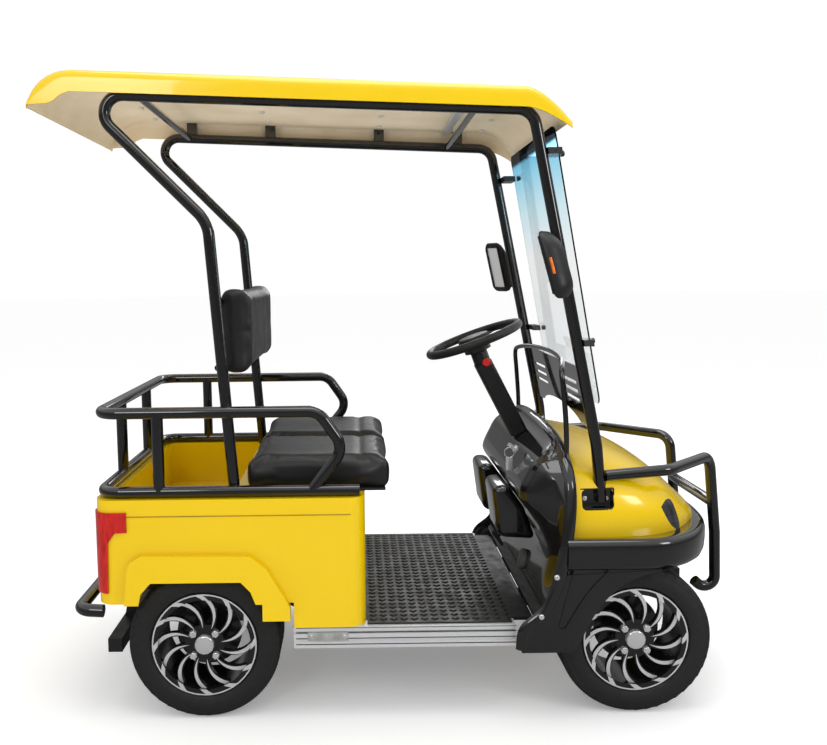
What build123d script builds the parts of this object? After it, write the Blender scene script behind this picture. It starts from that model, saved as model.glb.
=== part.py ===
from build123d import *
import os
from math import atan2, cos, degrees, radians, sin, tan

os.makedirs("parts", exist_ok=True)

# Small open two-seat golf cart. Millimetres, +X forward, +Y to the cart's left, +Z up.
# X = 0 is the middle of the cart's length, Y = 0 its middle plane, Z = 0 the ground.

# ---- Driving dimensions ----

# Running gear
wheelbase = 1360.0
rear_axle_x = -626.3
front_axle_x = rear_axle_x + wheelbase
tyre_diameter = 480.0
tyre_width = 190.0
wheel_outer_y = 474.0
rim_flange_diameter = 330.0
rim_seat_diameter = 304.0
rim_wall = 6.0
rim_width = 176.0
spoke_count = 12
spoke_thickness = 16.0
spoke_recess = 12.0
hub_face_diameter = 124.0
lug_count = 4
lug_circle = 100.0
lug_across = 18.0
cap_diameter = 56.0
brake_disc_diameter = 210.0
brake_disc_thickness = 6.0
hub_barrel_diameter = 70.0
spindle_diameter = 32.0
kingpin_y = 285.0
kingpin_diameter = 22.0
knuckle_height = 76.0
axle_tube_diameter = 50.0

# Ladder frame and running boards
rail_y = 165.0
rail_width = 40.0
rail_height = 50.0
rail_low_z = 270.0
rail_high_z = 345.0
sill_height = 70.0
sill_width = 46.0
sill_outer_y = 479.0
floor_z = 301.0
mat_thickness = 5.0

# Rear body
body_half_width = 485.0
body_rear = 328.0
body_front = 511.0
body_top_z = 712.0
body_bottom_z = 382.0
body_wall = 8.0
body_corner = 55.0
body_rim = 50.0
cargo_floor_z = 552.0
cargo_front = 95.0
flare_outer_y = 505.0
flare_wall = 10.0
skirt_rear = 286.0
skirt_bottom_z = floor_z

# Tubes of the cage and the canopy
tube_diameter = 36.0
fit_gap = 0.3
cage_y = 455.0
cage_top_z = 978.0
cage_rear = 312.0
pillar_y = cage_y - tube_diameter - fit_gap

# Seat
seat_half_width = 418.0
seat_rear = 122.0
seat_front = 600.0
seat_thickness = 98.0
backrest_half_width = 378.0
backrest_rear = 66.0
backrest_thickness = 78.0
backrest_bottom_z = 1084.0
backrest_top_z = 1340.0

# Canopy
roof_half_width = 455.0
roof_wall = 6.0
roof_rear = 485.0
roof_front = 1145.0
roof_rear_z = 2016.0
roof_front_z = 1954.0
roof_shoulder = 28.0
roof_tube_drop = 66.0

# Front
belt_outer_y = 525.0
belt_wall = 7.0
belt_top_z = 563.0
arch_clearance = 14.0
cowl_half_width = 470.0
cowl_wall = 5.0
guard_loop_y = 188.0

# Steering
steering_wheel_diameter = 360.0
grip_diameter = 30.0
steering_tilt = 20.0
column_tilt = 27.0
dash_crest = (1045.0, 810.0)

# ---- Places worked out from them ----

tyre_radius = tyre_diameter / 2
axle_z = tyre_radius
wheel_mid_y = wheel_outer_y - tyre_width / 2
roof_slope = (roof_front_z - roof_rear_z) / (1004.0 + 357.0)
sides = {"right": -1, "left": 1}
axles = {"rear": rear_axle_x, "front": front_axle_x}
seat_bottom_z = body_top_z + fit_gap
cage_low_z = body_top_z + tube_diameter / 2 + fit_gap


def station(distance):
    """The X of a place given by its distance ahead of the rear axle."""
    return rear_axle_x + distance


def roof_skin_z(distance):
    """The height of the roof's straight top line above a station."""
    return roof_rear_z + roof_slope * (distance + 357.0)


def pillar_front_x(height):
    """The station of the front pillar's front side at a height, on its long straight run."""
    low, high = canopy_front[1], canopy_front[2]
    share = (height - low[1]) / (high[1] - low[1])
    return low[0] + share * (high[0] - low[0]) + tube_diameter / 2 + 0.6


def screen_rear_x(height):
    """The station of the windscreen's rear face at a height."""
    return 1105 + (1847 - height) * (1260 - 1105) / (1847 - 974)


def bent_tube(points, bend, diameter=tube_diameter):
    """A round tube along straight runs joined by tangent bends."""
    with BuildPart() as tube:
        with BuildLine() as centre_line:
            if len(points) > 2:
                FilletPolyline(*points, radius=bend)
            else:
                Line(*points)
        with BuildSketch(Plane(origin=centre_line.line @ 0, z_dir=centre_line.line % 0)):
            Circle(diameter / 2)
        sweep()
    return tube.part


def polar(radius, angle):
    """A point of a wheel's face, from its radius and angle."""
    return (radius * cos(radians(angle)), radius * sin(radians(angle)))


def save(piece, label):
    """Label a finished piece and write it as one STEP file."""
    piece.part.label = label
    export_step(piece.part, f"parts/{label}.step")


# ---- Wheels ----

# One swirl spoke, from under the hub plate's edge to just inside the barrel.
spoke_inner = hub_face_diameter / 2 - 4
spoke_outer = rim_seat_diameter / 2 - rim_wall + 2
spoke_middle = (spoke_inner + spoke_outer) / 2
with BuildSketch() as spoke:
    with BuildLine():
        ThreePointArc(polar(spoke_inner, 0), polar(spoke_middle, 8), polar(spoke_outer, 25))
        Line(polar(spoke_outer, 25), polar(spoke_outer, 33))
        ThreePointArc(polar(spoke_outer, 33), polar(spoke_middle, 17), polar(spoke_inner, 12))
        Line(polar(spoke_inner, 12), polar(spoke_inner, 0))
    make_face()

for axle_name, axle_x in axles.items():
    for side_name, side in sides.items():
        wheel_name = f"{axle_name}_{side_name}"
        centre = (axle_x, side * wheel_mid_y, axle_z)
        spin_axis = Axis(centre, (0, side, 0))
        # In the half section, local X runs outwards along the axle and local Y is the radius.
        half_section = Plane(centre, x_dir=(0, side, 0), z_dir=(side, 0, 0))
        tyre_half = tyre_width / 2
        rim_half = rim_width / 2
        flange_radius = rim_flange_diameter / 2
        seat_radius = rim_seat_diameter / 2

        # Low tyre with a flat tread, round shoulders and a full side wall.
        with BuildPart() as tyre:
            with BuildSketch(half_section):
                with BuildLine():
                    Polyline(
                        (-rim_half + rim_wall + 1, seat_radius + fit_gap),
                        (rim_half - rim_wall - 1, seat_radius + fit_gap),
                        (rim_half - rim_wall - 1, flange_radius + 1),
                        (tyre_half - 4, flange_radius + 8),
                    )
                    ThreePointArc(
                        (tyre_half - 4, flange_radius + 8),
                        (tyre_half, flange_radius + 30),
                        (tyre_half - 6, tyre_radius - 22),
                    )
                    ThreePointArc(
                        (tyre_half - 6, tyre_radius - 22),
                        (tyre_half - 12, tyre_radius - 8),
                        (tyre_half - 26, tyre_radius),
                    )
                    Line((tyre_half - 26, tyre_radius), (26 - tyre_half, tyre_radius))
                    ThreePointArc(
                        (26 - tyre_half, tyre_radius),
                        (12 - tyre_half, tyre_radius - 8),
                        (6 - tyre_half, tyre_radius - 22),
                    )
                    ThreePointArc(
                        (6 - tyre_half, tyre_radius - 22),
                        (-tyre_half, flange_radius + 30),
                        (4 - tyre_half, flange_radius + 8),
                    )
                    Polyline(
                        (4 - tyre_half, flange_radius + 8),
                        (rim_wall + 1 - rim_half, flange_radius + 1),
                        (rim_wall + 1 - rim_half, seat_radius + fit_gap),
                    )
                make_face()
            revolve(axis=spin_axis)
        save(tyre, f"tyre_{wheel_name}")

        # Alloy rim: barrel with two flanges, hub plate, swirl spokes, cap and lug nuts.
        spoke_back = rim_half - spoke_recess - spoke_thickness
        spoke_front = rim_half - spoke_recess
        with BuildPart() as rim:
            with BuildSketch(half_section):
                with BuildLine():
                    Polyline(
                        (-rim_half, seat_radius - rim_wall),
                        (-rim_half, flange_radius),
                        (-rim_half + rim_wall, flange_radius),
                        (-rim_half + rim_wall, seat_radius),
                        (rim_half - rim_wall, seat_radius),
                        (rim_half - rim_wall, flange_radius),
                        (rim_half, flange_radius),
                        (rim_half, seat_radius - rim_wall),
                        close=True,
                    )
                make_face()
                with Locations(((spoke_back + spoke_front) / 2, (spindle_diameter + hub_face_diameter) / 4)):
                    Rectangle(spoke_thickness, (hub_face_diameter - spindle_diameter) / 2)
                with Locations((spoke_front + 6, cap_diameter / 4)):
                    Rectangle(16, cap_diameter / 2)
            revolve(axis=spin_axis)
            face_plane = Plane(
                (axle_x, side * (wheel_mid_y + spoke_back), axle_z),
                x_dir=(-side, 0, 0),
                z_dir=(0, side, 0),
            )
            with BuildSketch(face_plane):
                with PolarLocations(0, spoke_count):
                    add(spoke.sketch)
            extrude(amount=spoke_thickness)
            with BuildSketch(face_plane.offset(spoke_thickness)):
                with PolarLocations(lug_circle / 2, lug_count, start_angle=45):
                    RegularPolygon(lug_across / 2, 6, major_radius=False)
            extrude(amount=12)
        save(rim, f"rim_{wheel_name}")

        # Hub with its brake disc, bored for the spindle.
        with BuildPart() as hub:
            with BuildSketch(half_section):
                bore = spindle_diameter / 2 + fit_gap
                with BuildLine():
                    Polyline(
                        (-40, bore),
                        (-40, hub_barrel_diameter / 2),
                        (-22, hub_barrel_diameter / 2),
                        (-22, brake_disc_diameter / 2),
                        (-22 + brake_disc_thickness, brake_disc_diameter / 2),
                        (-22 + brake_disc_thickness, hub_barrel_diameter / 2),
                        (spoke_back - 8, hub_barrel_diameter / 2),
                        (spoke_back - 8, hub_face_diameter / 2 - 2),
                        (spoke_back, hub_face_diameter / 2 - 2),
                        (spoke_back, bore),
                        close=True,
                    )
                make_face()
            revolve(axis=spin_axis)
        save(hub, f"hub_{wheel_name}")

# ---- Ladder frame ----

rail_path = [
    (station(-315), rail_high_z),
    (station(195), rail_high_z),
    (station(272), rail_low_z),
    (station(1085), rail_low_z),
    (station(1165), rail_high_z),
    (station(1600), rail_high_z),
]
with BuildPart() as chassis_frame:
    for side in sides.values():
        with BuildLine():
            FilletPolyline(*[(x, side * rail_y, z) for x, z in rail_path], radius=40)
        with BuildSketch(Plane((station(-315), side * rail_y, rail_high_z), x_dir=(0, 1, 0), z_dir=(1, 0, 0))):
            Rectangle(rail_width, rail_height)
        sweep()
    # Cross members between the rails: distance ahead of the rear axle, height.
    for distance, height in ((-290, rail_high_z), (150, rail_high_z), (1200, rail_high_z), (1580, rail_high_z)):
        with BuildSketch(Plane((station(distance), 0, height), z_dir=(0, 1, 0))):
            Rectangle(40, 40)
        extrude(amount=rail_y, both=True)
    # Outriggers under the running boards, out to the sills.
    for distance in (320, 640, 960):
        with BuildSketch(Plane((station(distance), 0, rail_low_z + 5), z_dir=(0, 1, 0))):
            Rectangle(40, 40)
        extrude(amount=sill_outer_y - sill_width, both=True)
    # Low square tube behind the rear wheels, hung from the rails on two slanting stays.
    with BuildSketch(Plane((station(-306), 0, 205), z_dir=(0, 1, 0))):
        Rectangle(45, 45)
    extrude(amount=380, both=True)
    for side in sides.values():
        with BuildSketch(Plane((0, side * rail_y, 0), x_dir=(1, 0, 0), z_dir=(0, -1, 0))):
            with BuildLine():
                Polyline(
                    (station(-328), 205),
                    (station(-292), 205),
                    (station(-262), 345),
                    (station(-300), 345),
                    close=True,
                )
            make_face()
        extrude(amount=rail_width / 2, both=True)
save(chassis_frame, "chassis_frame")

# Extruded sills along both sides of the floor, with two grooves.
for side_name, side in sides.items():
    with BuildPart() as sill:
        with BuildSketch(Plane((station(283), side * sill_outer_y, floor_z), x_dir=(0, -side, 0), z_dir=(1, 0, 0))):
            with Locations((sill_width / 2, side * sill_height / 2)):
                Rectangle(sill_width, sill_height)
            for groove in (20, 46):
                with Locations((1.5, side * groove)):
                    Rectangle(3, 8, mode=Mode.SUBTRACT)
        extrude(amount=978 - 283)
    save(sill, f"sill_{side_name}")

# Floor: a pan between the sills with a rubber mat on it.
with BuildPart() as floor_pan:
    with BuildSketch(Plane.XY.offset(floor_z - 6)):
        with Locations(((station(300) + station(1043)) / 2, 0)):
            Rectangle(1043 - 300, 2 * (sill_outer_y - sill_width))
    extrude(amount=6)
save(floor_pan, "floor_pan")
with BuildPart() as floor_mat:
    with BuildSketch(Plane.XY.offset(floor_z)):
        with Locations(((station(515) + station(970)) / 2, 0)):
            Rectangle(970 - 515, 2 * sill_outer_y - 24)
        with Locations(((station(970) + station(1032)) / 2, 0)):
            Rectangle(1032 - 970, 2 * (sill_outer_y - sill_width))
    extrude(amount=mat_thickness)
save(floor_mat, "floor_mat")

# ---- Axles, suspension, motor and battery ----

with BuildPart() as rear_axle:
    with BuildSketch(Plane((rear_axle_x, 0, axle_z), z_dir=(0, 1, 0))):
        Circle(axle_tube_diameter / 2)
    extrude(amount=wheel_mid_y - 48, both=True)
    with BuildSketch(Plane((rear_axle_x, 0, axle_z), z_dir=(0, 1, 0))):
        Circle(spindle_diameter / 2)
    extrude(amount=wheel_mid_y + 40, both=True)
    # Differential bulge and the drive motor beside it.
    with BuildSketch(Plane((rear_axle_x, 60, axle_z), z_dir=(0, 1, 0))):
        Circle(75)
    extrude(amount=55, both=True)
    with BuildSketch(Plane((rear_axle_x - 150, -110, axle_z + 8), z_dir=(0, 1, 0))):
        Circle(70)
    extrude(amount=215)
    with BuildSketch(Plane((rear_axle_x - 75, 60, axle_z + 4), z_dir=(0, 1, 0))):
        Rectangle(150, 90)
    extrude(amount=45, both=True)
save(rear_axle, "rear_axle")

with BuildPart() as front_axle:
    with BuildSketch(Plane((front_axle_x, 0, axle_z), z_dir=(0, 1, 0))):
        Circle(axle_tube_diameter / 2)
    extrude(amount=kingpin_y - 46, both=True)
    # A yoke at each end holds the kingpin above and below the knuckle.
    for side in sides.values():
        with Locations((front_axle_x, side * (kingpin_y - 40), axle_z)):
            Box(50, 14, knuckle_height + 36)
        for end in (-1, 1):
            with Locations((front_axle_x, side * (kingpin_y - 12), axle_z + end * (knuckle_height / 2 + 10))):
                Box(50, 70, 16)
        with Locations((front_axle_x, side * kingpin_y, axle_z)):
            Cylinder(kingpin_diameter / 2 + fit_gap, knuckle_height + 40, mode=Mode.SUBTRACT)
save(front_axle, "front_axle")

# Leaf springs under the rails, two to each axle, with hangers at both ends.
for axle_name, axle_x in axles.items():
    with BuildPart() as springs:
        for side in sides.values():
            side_plane = Plane((axle_x, side * rail_y, 0), x_dir=(1, 0, 0), z_dir=(0, -1, 0))
            pad_z = axle_z + axle_tube_diameter / 2 + fit_gap
            hanger_z = rail_high_z - rail_height / 2
            with BuildSketch(side_plane):
                with BuildLine():
                    ThreePointArc((-165, hanger_z - 14), (0, pad_z), (165, hanger_z - 14))
                    Line((165, hanger_z - 14), (165, hanger_z))
                    ThreePointArc((165, hanger_z), (0, pad_z + 16), (-165, hanger_z))
                    Line((-165, hanger_z), (-165, hanger_z - 14))
                make_face()
            extrude(amount=22, both=True)
            for end in (-1, 1):
                with Locations((axle_x + end * 158, side * rail_y, hanger_z - 12)):
                    Box(30, 44, 24)
    save(springs, f"{axle_name}_springs")

for side_name, side in sides.items():
    with BuildPart() as knuckle:
        with Locations((front_axle_x, side * kingpin_y, axle_z)):
            Cylinder(22, knuckle_height - 4)
            Cylinder(kingpin_diameter / 2, knuckle_height + 40)
        with BuildSketch(Plane((front_axle_x, side * kingpin_y, axle_z), z_dir=(0, side, 0))):
            Circle(spindle_diameter / 2)
        extrude(amount=wheel_mid_y + 40 - kingpin_y)
        # Steering arm, swept back from the boss.
        with Locations((front_axle_x - 50, side * kingpin_y, axle_z - 20)):
            Box(100, 16, 12)
    save(knuckle, f"knuckle_{side_name}")

with BuildPart() as battery_pack:
    with Locations((station(390), 0, floor_z + 120)):
        Box(200, 520, 240)
save(battery_pack, "battery_pack")

# ---- Rear body ----

body_length = body_rear + body_front
body_mid_x = (station(-body_rear) + station(body_front)) / 2
well_length = body_rear - body_rim + cargo_front
well_mid_x = (station(-body_rear + body_rim) + station(cargo_front)) / 2
well_width = 2 * (body_half_width - body_rim)
well_corner = 20.0

with BuildPart() as body_hollow:
    with BuildSketch(Plane.XY.offset(skirt_bottom_z)):
        with Locations((body_mid_x, 0)):
            RectangleRounded(body_length - 2 * body_wall, 2 * (body_half_width - body_wall), body_corner - body_wall)
    extrude(amount=body_top_z - body_wall - skirt_bottom_z)
    with BuildSketch(Plane.XY.offset(cargo_floor_z - body_wall)):
        with Locations((well_mid_x, 0)):
            RectangleRounded(well_length + 2 * body_wall, well_width + 2 * body_wall, well_corner + body_wall)
    extrude(amount=body_top_z, mode=Mode.SUBTRACT)
with BuildPart() as rear_body:
    with BuildSketch(Plane.XY.offset(body_bottom_z)):
        with Locations((body_mid_x, 0)):
            RectangleRounded(body_length, 2 * body_half_width, body_corner)
    extrude(amount=body_top_z - body_bottom_z)
    # Lower skirt between the wheel arch and the front panel.
    with BuildSketch(Plane.XY.offset(skirt_bottom_z)):
        with Locations(((station(skirt_rear) + station(body_front)) / 2, 0)):
            Rectangle(body_front - skirt_rear, 2 * body_half_width)
        fillet(vertices().sort_by(Axis.X)[-2:], body_corner)
    extrude(amount=body_bottom_z - skirt_bottom_z)
    # Flares standing out round the rear wheel arches.
    for side in sides.values():
        with BuildSketch(Plane((0, side * (body_half_width - body_wall), 0), x_dir=(-side, 0, 0), z_dir=(0, side, 0))):
            with BuildLine():
                Polyline(*[(-side * station(x), z) for x, z in (
                    (-238, 384), (-226, 500), (-214, 522), (-184, 540), (154, 536), (206, 494), (276, 372),
                    (276, 330), (190, 330),
                )], (-side * station(190), 384), close=True)
            make_face()
        extrude(amount=flare_outer_y - body_half_width + body_wall)
    # Hollow below, round the cargo well and under the seat deck.
    add(body_hollow.part, mode=Mode.SUBTRACT)
    # Cargo well, open above, inside a broad rim that carries the cage.
    with BuildSketch(Plane.XY.offset(cargo_floor_z)):
        with Locations((well_mid_x, 0)):
            RectangleRounded(well_length, well_width, well_corner)
    extrude(amount=body_top_z - cargo_floor_z, mode=Mode.SUBTRACT)
    # Wheel arches.
    for side in sides.values():
        arch_plane = Plane((0, side * (flare_outer_y - flare_wall), 0), x_dir=(-side, 0, 0), z_dir=(0, side, 0))
        with BuildSketch(arch_plane):
            with BuildLine():
                Polyline(*[(-side * station(x), z) for x, z in (
                    (-205, 300), (-196, 373), (-186, 420), (-154, 455), (124, 455), (154, 424), (190, 330),
                    (190, 300),
                )], close=True)
            make_face()
        extrude(amount=40, both=True, mode=Mode.SUBTRACT)
        # The tyre needs room behind the flare.
        with BuildSketch(Plane((rear_axle_x, side * (flare_outer_y - flare_wall), axle_z), z_dir=(0, -side, 0))):
            Circle(tyre_radius + 12)
        extrude(amount=60, mode=Mode.SUBTRACT)
save(rear_body, "rear_body")

# ---- Seat and backrest ----

with BuildPart() as seat_cushion:
    with BuildSketch(Plane.XY.offset(seat_bottom_z)):
        with Locations(((station(seat_rear) + station(seat_front)) / 2, 0)):
            RectangleRounded(seat_front - seat_rear, 2 * seat_half_width, 40)
    extrude(amount=seat_thickness)
    fillet(seat_cushion.faces().sort_by(Axis.Z)[-1].edges(), 24)
save(seat_cushion, "seat_cushion")

with BuildPart() as backrest_cushion:
    with BuildSketch(Plane((station(backrest_rear), 0, (backrest_bottom_z + backrest_top_z) / 2), x_dir=(0, 1, 0), z_dir=(1, 0, 0))):
        RectangleRounded(2 * backrest_half_width, backrest_top_z - backrest_bottom_z, 30)
    extrude(amount=backrest_thickness)
    fillet(backrest_cushion.faces().sort_by(Axis.X)[-1].edges(), 18)
save(backrest_cushion, "backrest_cushion")

with BuildPart() as backrest_frame:
    for height in (1110, 1315):
        reach = pillar_y - tube_diameter / 2 - fit_gap
        bar_x = station(backrest_rear) - 10 - fit_gap
        add(bent_tube([(bar_x, -reach, height), (bar_x, reach, height)], 0, 20))
save(backrest_frame, "backrest_frame")

# ---- Cage round the cargo box, with the arm rests ----

cage_back_x = station(-cage_rear)
with BuildPart() as cargo_cage:
    # Upper rail: from one pillar round the back to the other, then on as arm rests.
    for side in sides.values():
        add(bent_tube([
            (cage_back_x, 0, cage_top_z),
            (cage_back_x, side * cage_y, cage_top_z),
            (station(370), side * cage_y, cage_top_z),
            (station(450), side * cage_y, 862),
            (station(345), side * cage_y, cage_low_z),
        ], [60, 60, 60]))
        add(bent_tube([
            (cage_back_x, 0, cage_low_z),
            (cage_back_x, side * cage_y, cage_low_z),
            (station(495), side * cage_y, cage_low_z),
        ], 60))
        for post in ((station(-127), cage_y), (cage_back_x, 177)):
            add(bent_tube([(post[0], side * post[1], cage_low_z), (post[0], side * post[1], cage_top_z)], 0))
save(cargo_cage, "cargo_cage")

# ---- Canopy frame ----

pillar_foot_z = 676.0
canopy_front = [(1256, pillar_foot_z), (1240, 850), (1034, roof_skin_z(1034) - roof_tube_drop), (930, roof_skin_z(930) - roof_tube_drop)]
canopy_rear = [(-190, roof_skin_z(-190) - roof_tube_drop), (-345, roof_skin_z(-345) - roof_tube_drop), (40, 1560), (103, body_top_z - 10)]
for side_name, side in sides.items():
    with BuildPart() as front_pillar:
        add(bent_tube([(station(x), side * pillar_y, z) for x, z in canopy_front], [200, 60]))
    save(front_pillar, f"front_pillar_{side_name}")
    with BuildPart() as rear_pillar:
        add(bent_tube([(station(x), side * pillar_y, z) for x, z in canopy_rear], [55, 110]))
        split(bisect_by=Plane.XY.offset(body_top_z), keep=Keep.TOP)
    save(rear_pillar, f"rear_pillar_{side_name}")

with BuildPart() as roof_frame:
    for side in sides.values():
        add(bent_tube([
            (station(-190), side * pillar_y, roof_skin_z(-190) - roof_tube_drop),
            (station(930), side * pillar_y, roof_skin_z(930) - roof_tube_drop),
        ], 0))
        # Pads that carry the roof shell.
        for distance in (-150, 160, 590, 900):
            with BuildSketch(Plane((0, side * pillar_y, 0), x_dir=(1, 0, 0), z_dir=(0, -1, 0))):
                with BuildLine():
                    Polyline(
                        (station(distance - 20), roof_skin_z(distance - 20) - roof_tube_drop),
                        (station(distance + 20), roof_skin_z(distance + 20) - roof_tube_drop),
                        (station(distance + 20), roof_skin_z(distance + 20) - roof_wall),
                        (station(distance - 20), roof_skin_z(distance - 20) - roof_wall),
                        close=True,
                    )
                make_face()
            extrude(amount=10, both=True)
    for distance in (-160, 860):
        height = roof_skin_z(distance) - roof_tube_drop
        add(bent_tube([(station(distance), -pillar_y, height), (station(distance), pillar_y, height)], 0, 24))
save(roof_frame, "roof_frame")

# ---- Roof shell ----

roof_top = [(-357, roof_skin_z(-357)), (1004, roof_skin_z(1004))]
with BuildPart() as roof:
    with BuildSketch(Plane((0, 0, 0), x_dir=(1, 0, 0), z_dir=(0, -1, 0))):
        with BuildLine():
            ThreePointArc((station(-roof_rear), 1915), (station(-440), 1987), (station(-357), roof_rear_z))
            Line((station(-357), roof_rear_z), (station(1004), roof_front_z))
            ThreePointArc((station(1004), roof_front_z), (station(1092), 1914), (station(roof_front), 1848))
            Line((station(roof_front), 1848), (station(1098), 1830))
            ThreePointArc((station(1098), 1830), (station(1066), 1872), (station(1010), 1888))
            Line((station(1010), 1888), (station(-372), 1952))
            Line((station(-372), 1952), (station(-420), 1917))
            Line((station(-420), 1917), (station(-roof_rear), 1915))
        make_face()
    extrude(amount=roof_half_width, both=True)
    with BuildSketch(Plane((0, 0, 0), x_dir=(1, 0, 0), z_dir=(0, -1, 0))):
        with BuildLine():
            ThreePointArc((station(-roof_rear + 8), 1900), (station(-434), 1981), (station(-356), roof_skin_z(-356) - roof_wall))
            Line((station(-356), roof_skin_z(-356) - roof_wall), (station(1002), roof_skin_z(1002) - roof_wall))
            ThreePointArc((station(1002), roof_skin_z(1002) - roof_wall), (station(1087), 1909), (station(roof_front - 9), 1820))
            Polyline(
                (station(roof_front - 9), 1820),
                (station(roof_front - 9), 1700),
                (station(-roof_rear + 8), 1700),
                (station(-roof_rear + 8), 1900),
            )
        make_face()
    extrude(amount=roof_half_width - roof_wall, both=True, mode=Mode.SUBTRACT)
save(roof, "roof")

# ---- Windscreen and the slotted screen below it ----

screen_lean = degrees(atan2(1260 - 1105, 1847 - 974))
screen_plane = Plane((station(1105), 0, 1847), x_dir=(0, 1, 0), z_dir=(cos(radians(screen_lean)), 0, sin(radians(screen_lean))))
with BuildPart() as windscreen:
    with BuildSketch(screen_plane):
        with Locations((0, -443)):
            RectangleRounded(746, 886, 30)
    extrude(amount=5)
save(windscreen, "windscreen")

with BuildPart() as lower_screen:
    with BuildSketch(Plane((station(1207), 0, 1000), x_dir=(0, 1, 0), z_dir=(cos(radians(11)), 0, sin(radians(11))))):
        RectangleRounded(2 * (pillar_y - tube_diameter / 2 - fit_gap), 200, 40)
        with Locations((0, -120)):
            Ellipse(300, 60, mode=Mode.SUBTRACT)
        for slot_y in (-60, -30, 0):
            with Locations((-230, slot_y + 40), (230, slot_y + 40)):
                SlotOverall(180, 12, mode=Mode.SUBTRACT)
    extrude(amount=5)
save(lower_screen, "lower_screen")

# Clamps that hold the windscreen ahead of the pillars: height of each.
with BuildPart() as screen_clamps:
    for height in (1176, 1762):
        for side in sides.values():
            with BuildSketch(Plane((0, side * 390, 0), x_dir=(1, 0, 0), z_dir=(0, -1, 0))):
                with BuildLine():
                    Polyline(
                        (station(pillar_front_x(height - 10)), height - 10),
                        (station(screen_rear_x(height - 10)), height - 10),
                        (station(screen_rear_x(height + 10)), height + 10),
                        (station(pillar_front_x(height + 10)), height + 10),
                        close=True,
                    )
                make_face()
            extrude(amount=45, both=True)
save(screen_clamps, "screen_clamps")

# ---- Front cowl, belt and dash ----

with BuildPart() as front_cowl:
    with BuildSketch(Plane((0, 0, 0), x_dir=(1, 0, 0), z_dir=(0, -1, 0))):
        with BuildLine():
            Polyline(*[(station(x), z) for x, z in (
                (1157, 852), (1370, 806), (1461, 761), (1540, 690), (1609, 628), (1637, belt_top_z), (1150, belt_top_z),
            )], close=True)
        make_face()
    extrude(amount=cowl_half_width, both=True)
    with BuildSketch(Plane.XY.offset(belt_top_z)):
        with BuildLine():
            Polyline(*[(station(x), y) for x, y in (
                (1140, -470), (1420, -450), (1560, -330), (1640, -180), (1640, 180), (1560, 330), (1420, 450), (1140, 470),
            )], close=True)
        make_face()
    extrude(amount=320, mode=Mode.INTERSECT)
    with BuildSketch(Plane((station(1140), 0, 0), x_dir=(0, 1, 0), z_dir=(1, 0, 0))):
        with BuildLine():
            Polyline((-470, belt_top_z), (-460, 650), (-390, 728), (-330, 800), (-200, 846), (200, 846), (330, 800),
                     (390, 728), (460, 650), (470, belt_top_z), close=True)
        make_face()
    extrude(amount=520, mode=Mode.INTERSECT)
    offset(amount=-cowl_wall, openings=[
        front_cowl.faces().sort_by(Axis.Z)[0],
        front_cowl.faces().sort_by(Axis.X)[0],
    ])
    # Pockets in the shoulders for the feet of the canopy's front pillars.
    for side in sides.values():
        with Locations((station(1252), side * 440, 725)):
            Box(76, 84, 110, mode=Mode.SUBTRACT)
save(front_cowl, "front_cowl")

with BuildPart() as front_belt:
    with BuildSketch(Plane((0, 0, 0), x_dir=(1, 0, 0), z_dir=(0, -1, 0))):
        with BuildLine():
            Polyline(*[(station(x), z) for x, z in (
                (1128, belt_top_z), (1070, 450), (1038, 360), (985, 290), (998, 224), (1052, 224), (1150, 257),
                (1164, 257), (1226, 390), (1290, 466), (1350, 494), (1430, 494), (1540, 486), (1650, 440), (1652, 540),
                (1640, belt_top_z),
            )], close=True)
        make_face()
    extrude(amount=belt_outer_y, both=True)
    with BuildSketch(Plane.XY.offset(200)):
        with BuildLine():
            Polyline(*[(station(x), y) for x, y in (
                (980, -belt_outer_y), (1440, -belt_outer_y), (1570, -390), (1652, -220), (1652, 220), (1570, 390),
                (1440, belt_outer_y), (980, belt_outer_y),
            )], close=True)
        make_face()
    extrude(amount=400, mode=Mode.INTERSECT)
    with BuildSketch(Plane.XY.offset(200)):
        with BuildLine():
            Polyline(*[(station(x), y) for x, y in (
                (900, -belt_outer_y + belt_wall), (1433, -belt_outer_y + belt_wall), (1563, -383), (1644, -214), (1644, 214),
                (1563, 383), (1433, belt_outer_y - belt_wall), (900, belt_outer_y - belt_wall),
            )], close=True)
        make_face()
    extrude(amount=belt_top_z - 208, mode=Mode.SUBTRACT)
save(front_belt, "front_belt")

with BuildPart() as dash:
    with BuildSketch(Plane((0, 0, 0), x_dir=(1, 0, 0), z_dir=(0, -1, 0))):
        with BuildLine():
            Polyline(*[(station(x), z) for x, z in (
                (1148, 852), (1056, 804), (1002, 692), (1056, 616), (1098, 500), (1043, floor_z), (1035, floor_z),
                (1088, 500), (1045, 610), (990, 690), dash_crest, (1148, dash_crest[1] + 103 * tan(radians(column_tilt))),
            )], close=True)
        make_face()
    extrude(amount=belt_outer_y - belt_wall - fit_gap, both=True)
save(dash, "dash")

for side_name, side in sides.items():
    with BuildPart() as pod:
        with BuildSketch(Plane((0, side * 170, 0), x_dir=(1, 0, 0), z_dir=(0, -1, 0))):
            with BuildLine():
                Polyline(*[(station(x), z) for x, z in (
                    (937, 683), (989.7, 690), (1044.7, 610), (1087.7, 500), (960, 510),
                )], close=True)
            make_face()
        extrude(amount=100, both=True)
    save(pod, f"dash_pod_{side_name}")

# ---- Guard, bumper, lamps ----

with BuildPart() as front_guard:
    for side in sides.values():
        add(bent_tube([
            (station(1268.2), side * pillar_y, 756),
            (station(1480), side * 400, 768),
            (station(1690), side * guard_loop_y, 766),
            (station(1715), side * guard_loop_y, 500),
            (station(1722), side * guard_loop_y, 262),
            (station(1648), side * guard_loop_y, 330),
        ], [60, 50, 200, 35]))
    add(bent_tube([(station(1705), -guard_loop_y, 605), (station(1705), guard_loop_y, 605)], 0))
save(front_guard, "front_guard")

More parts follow.
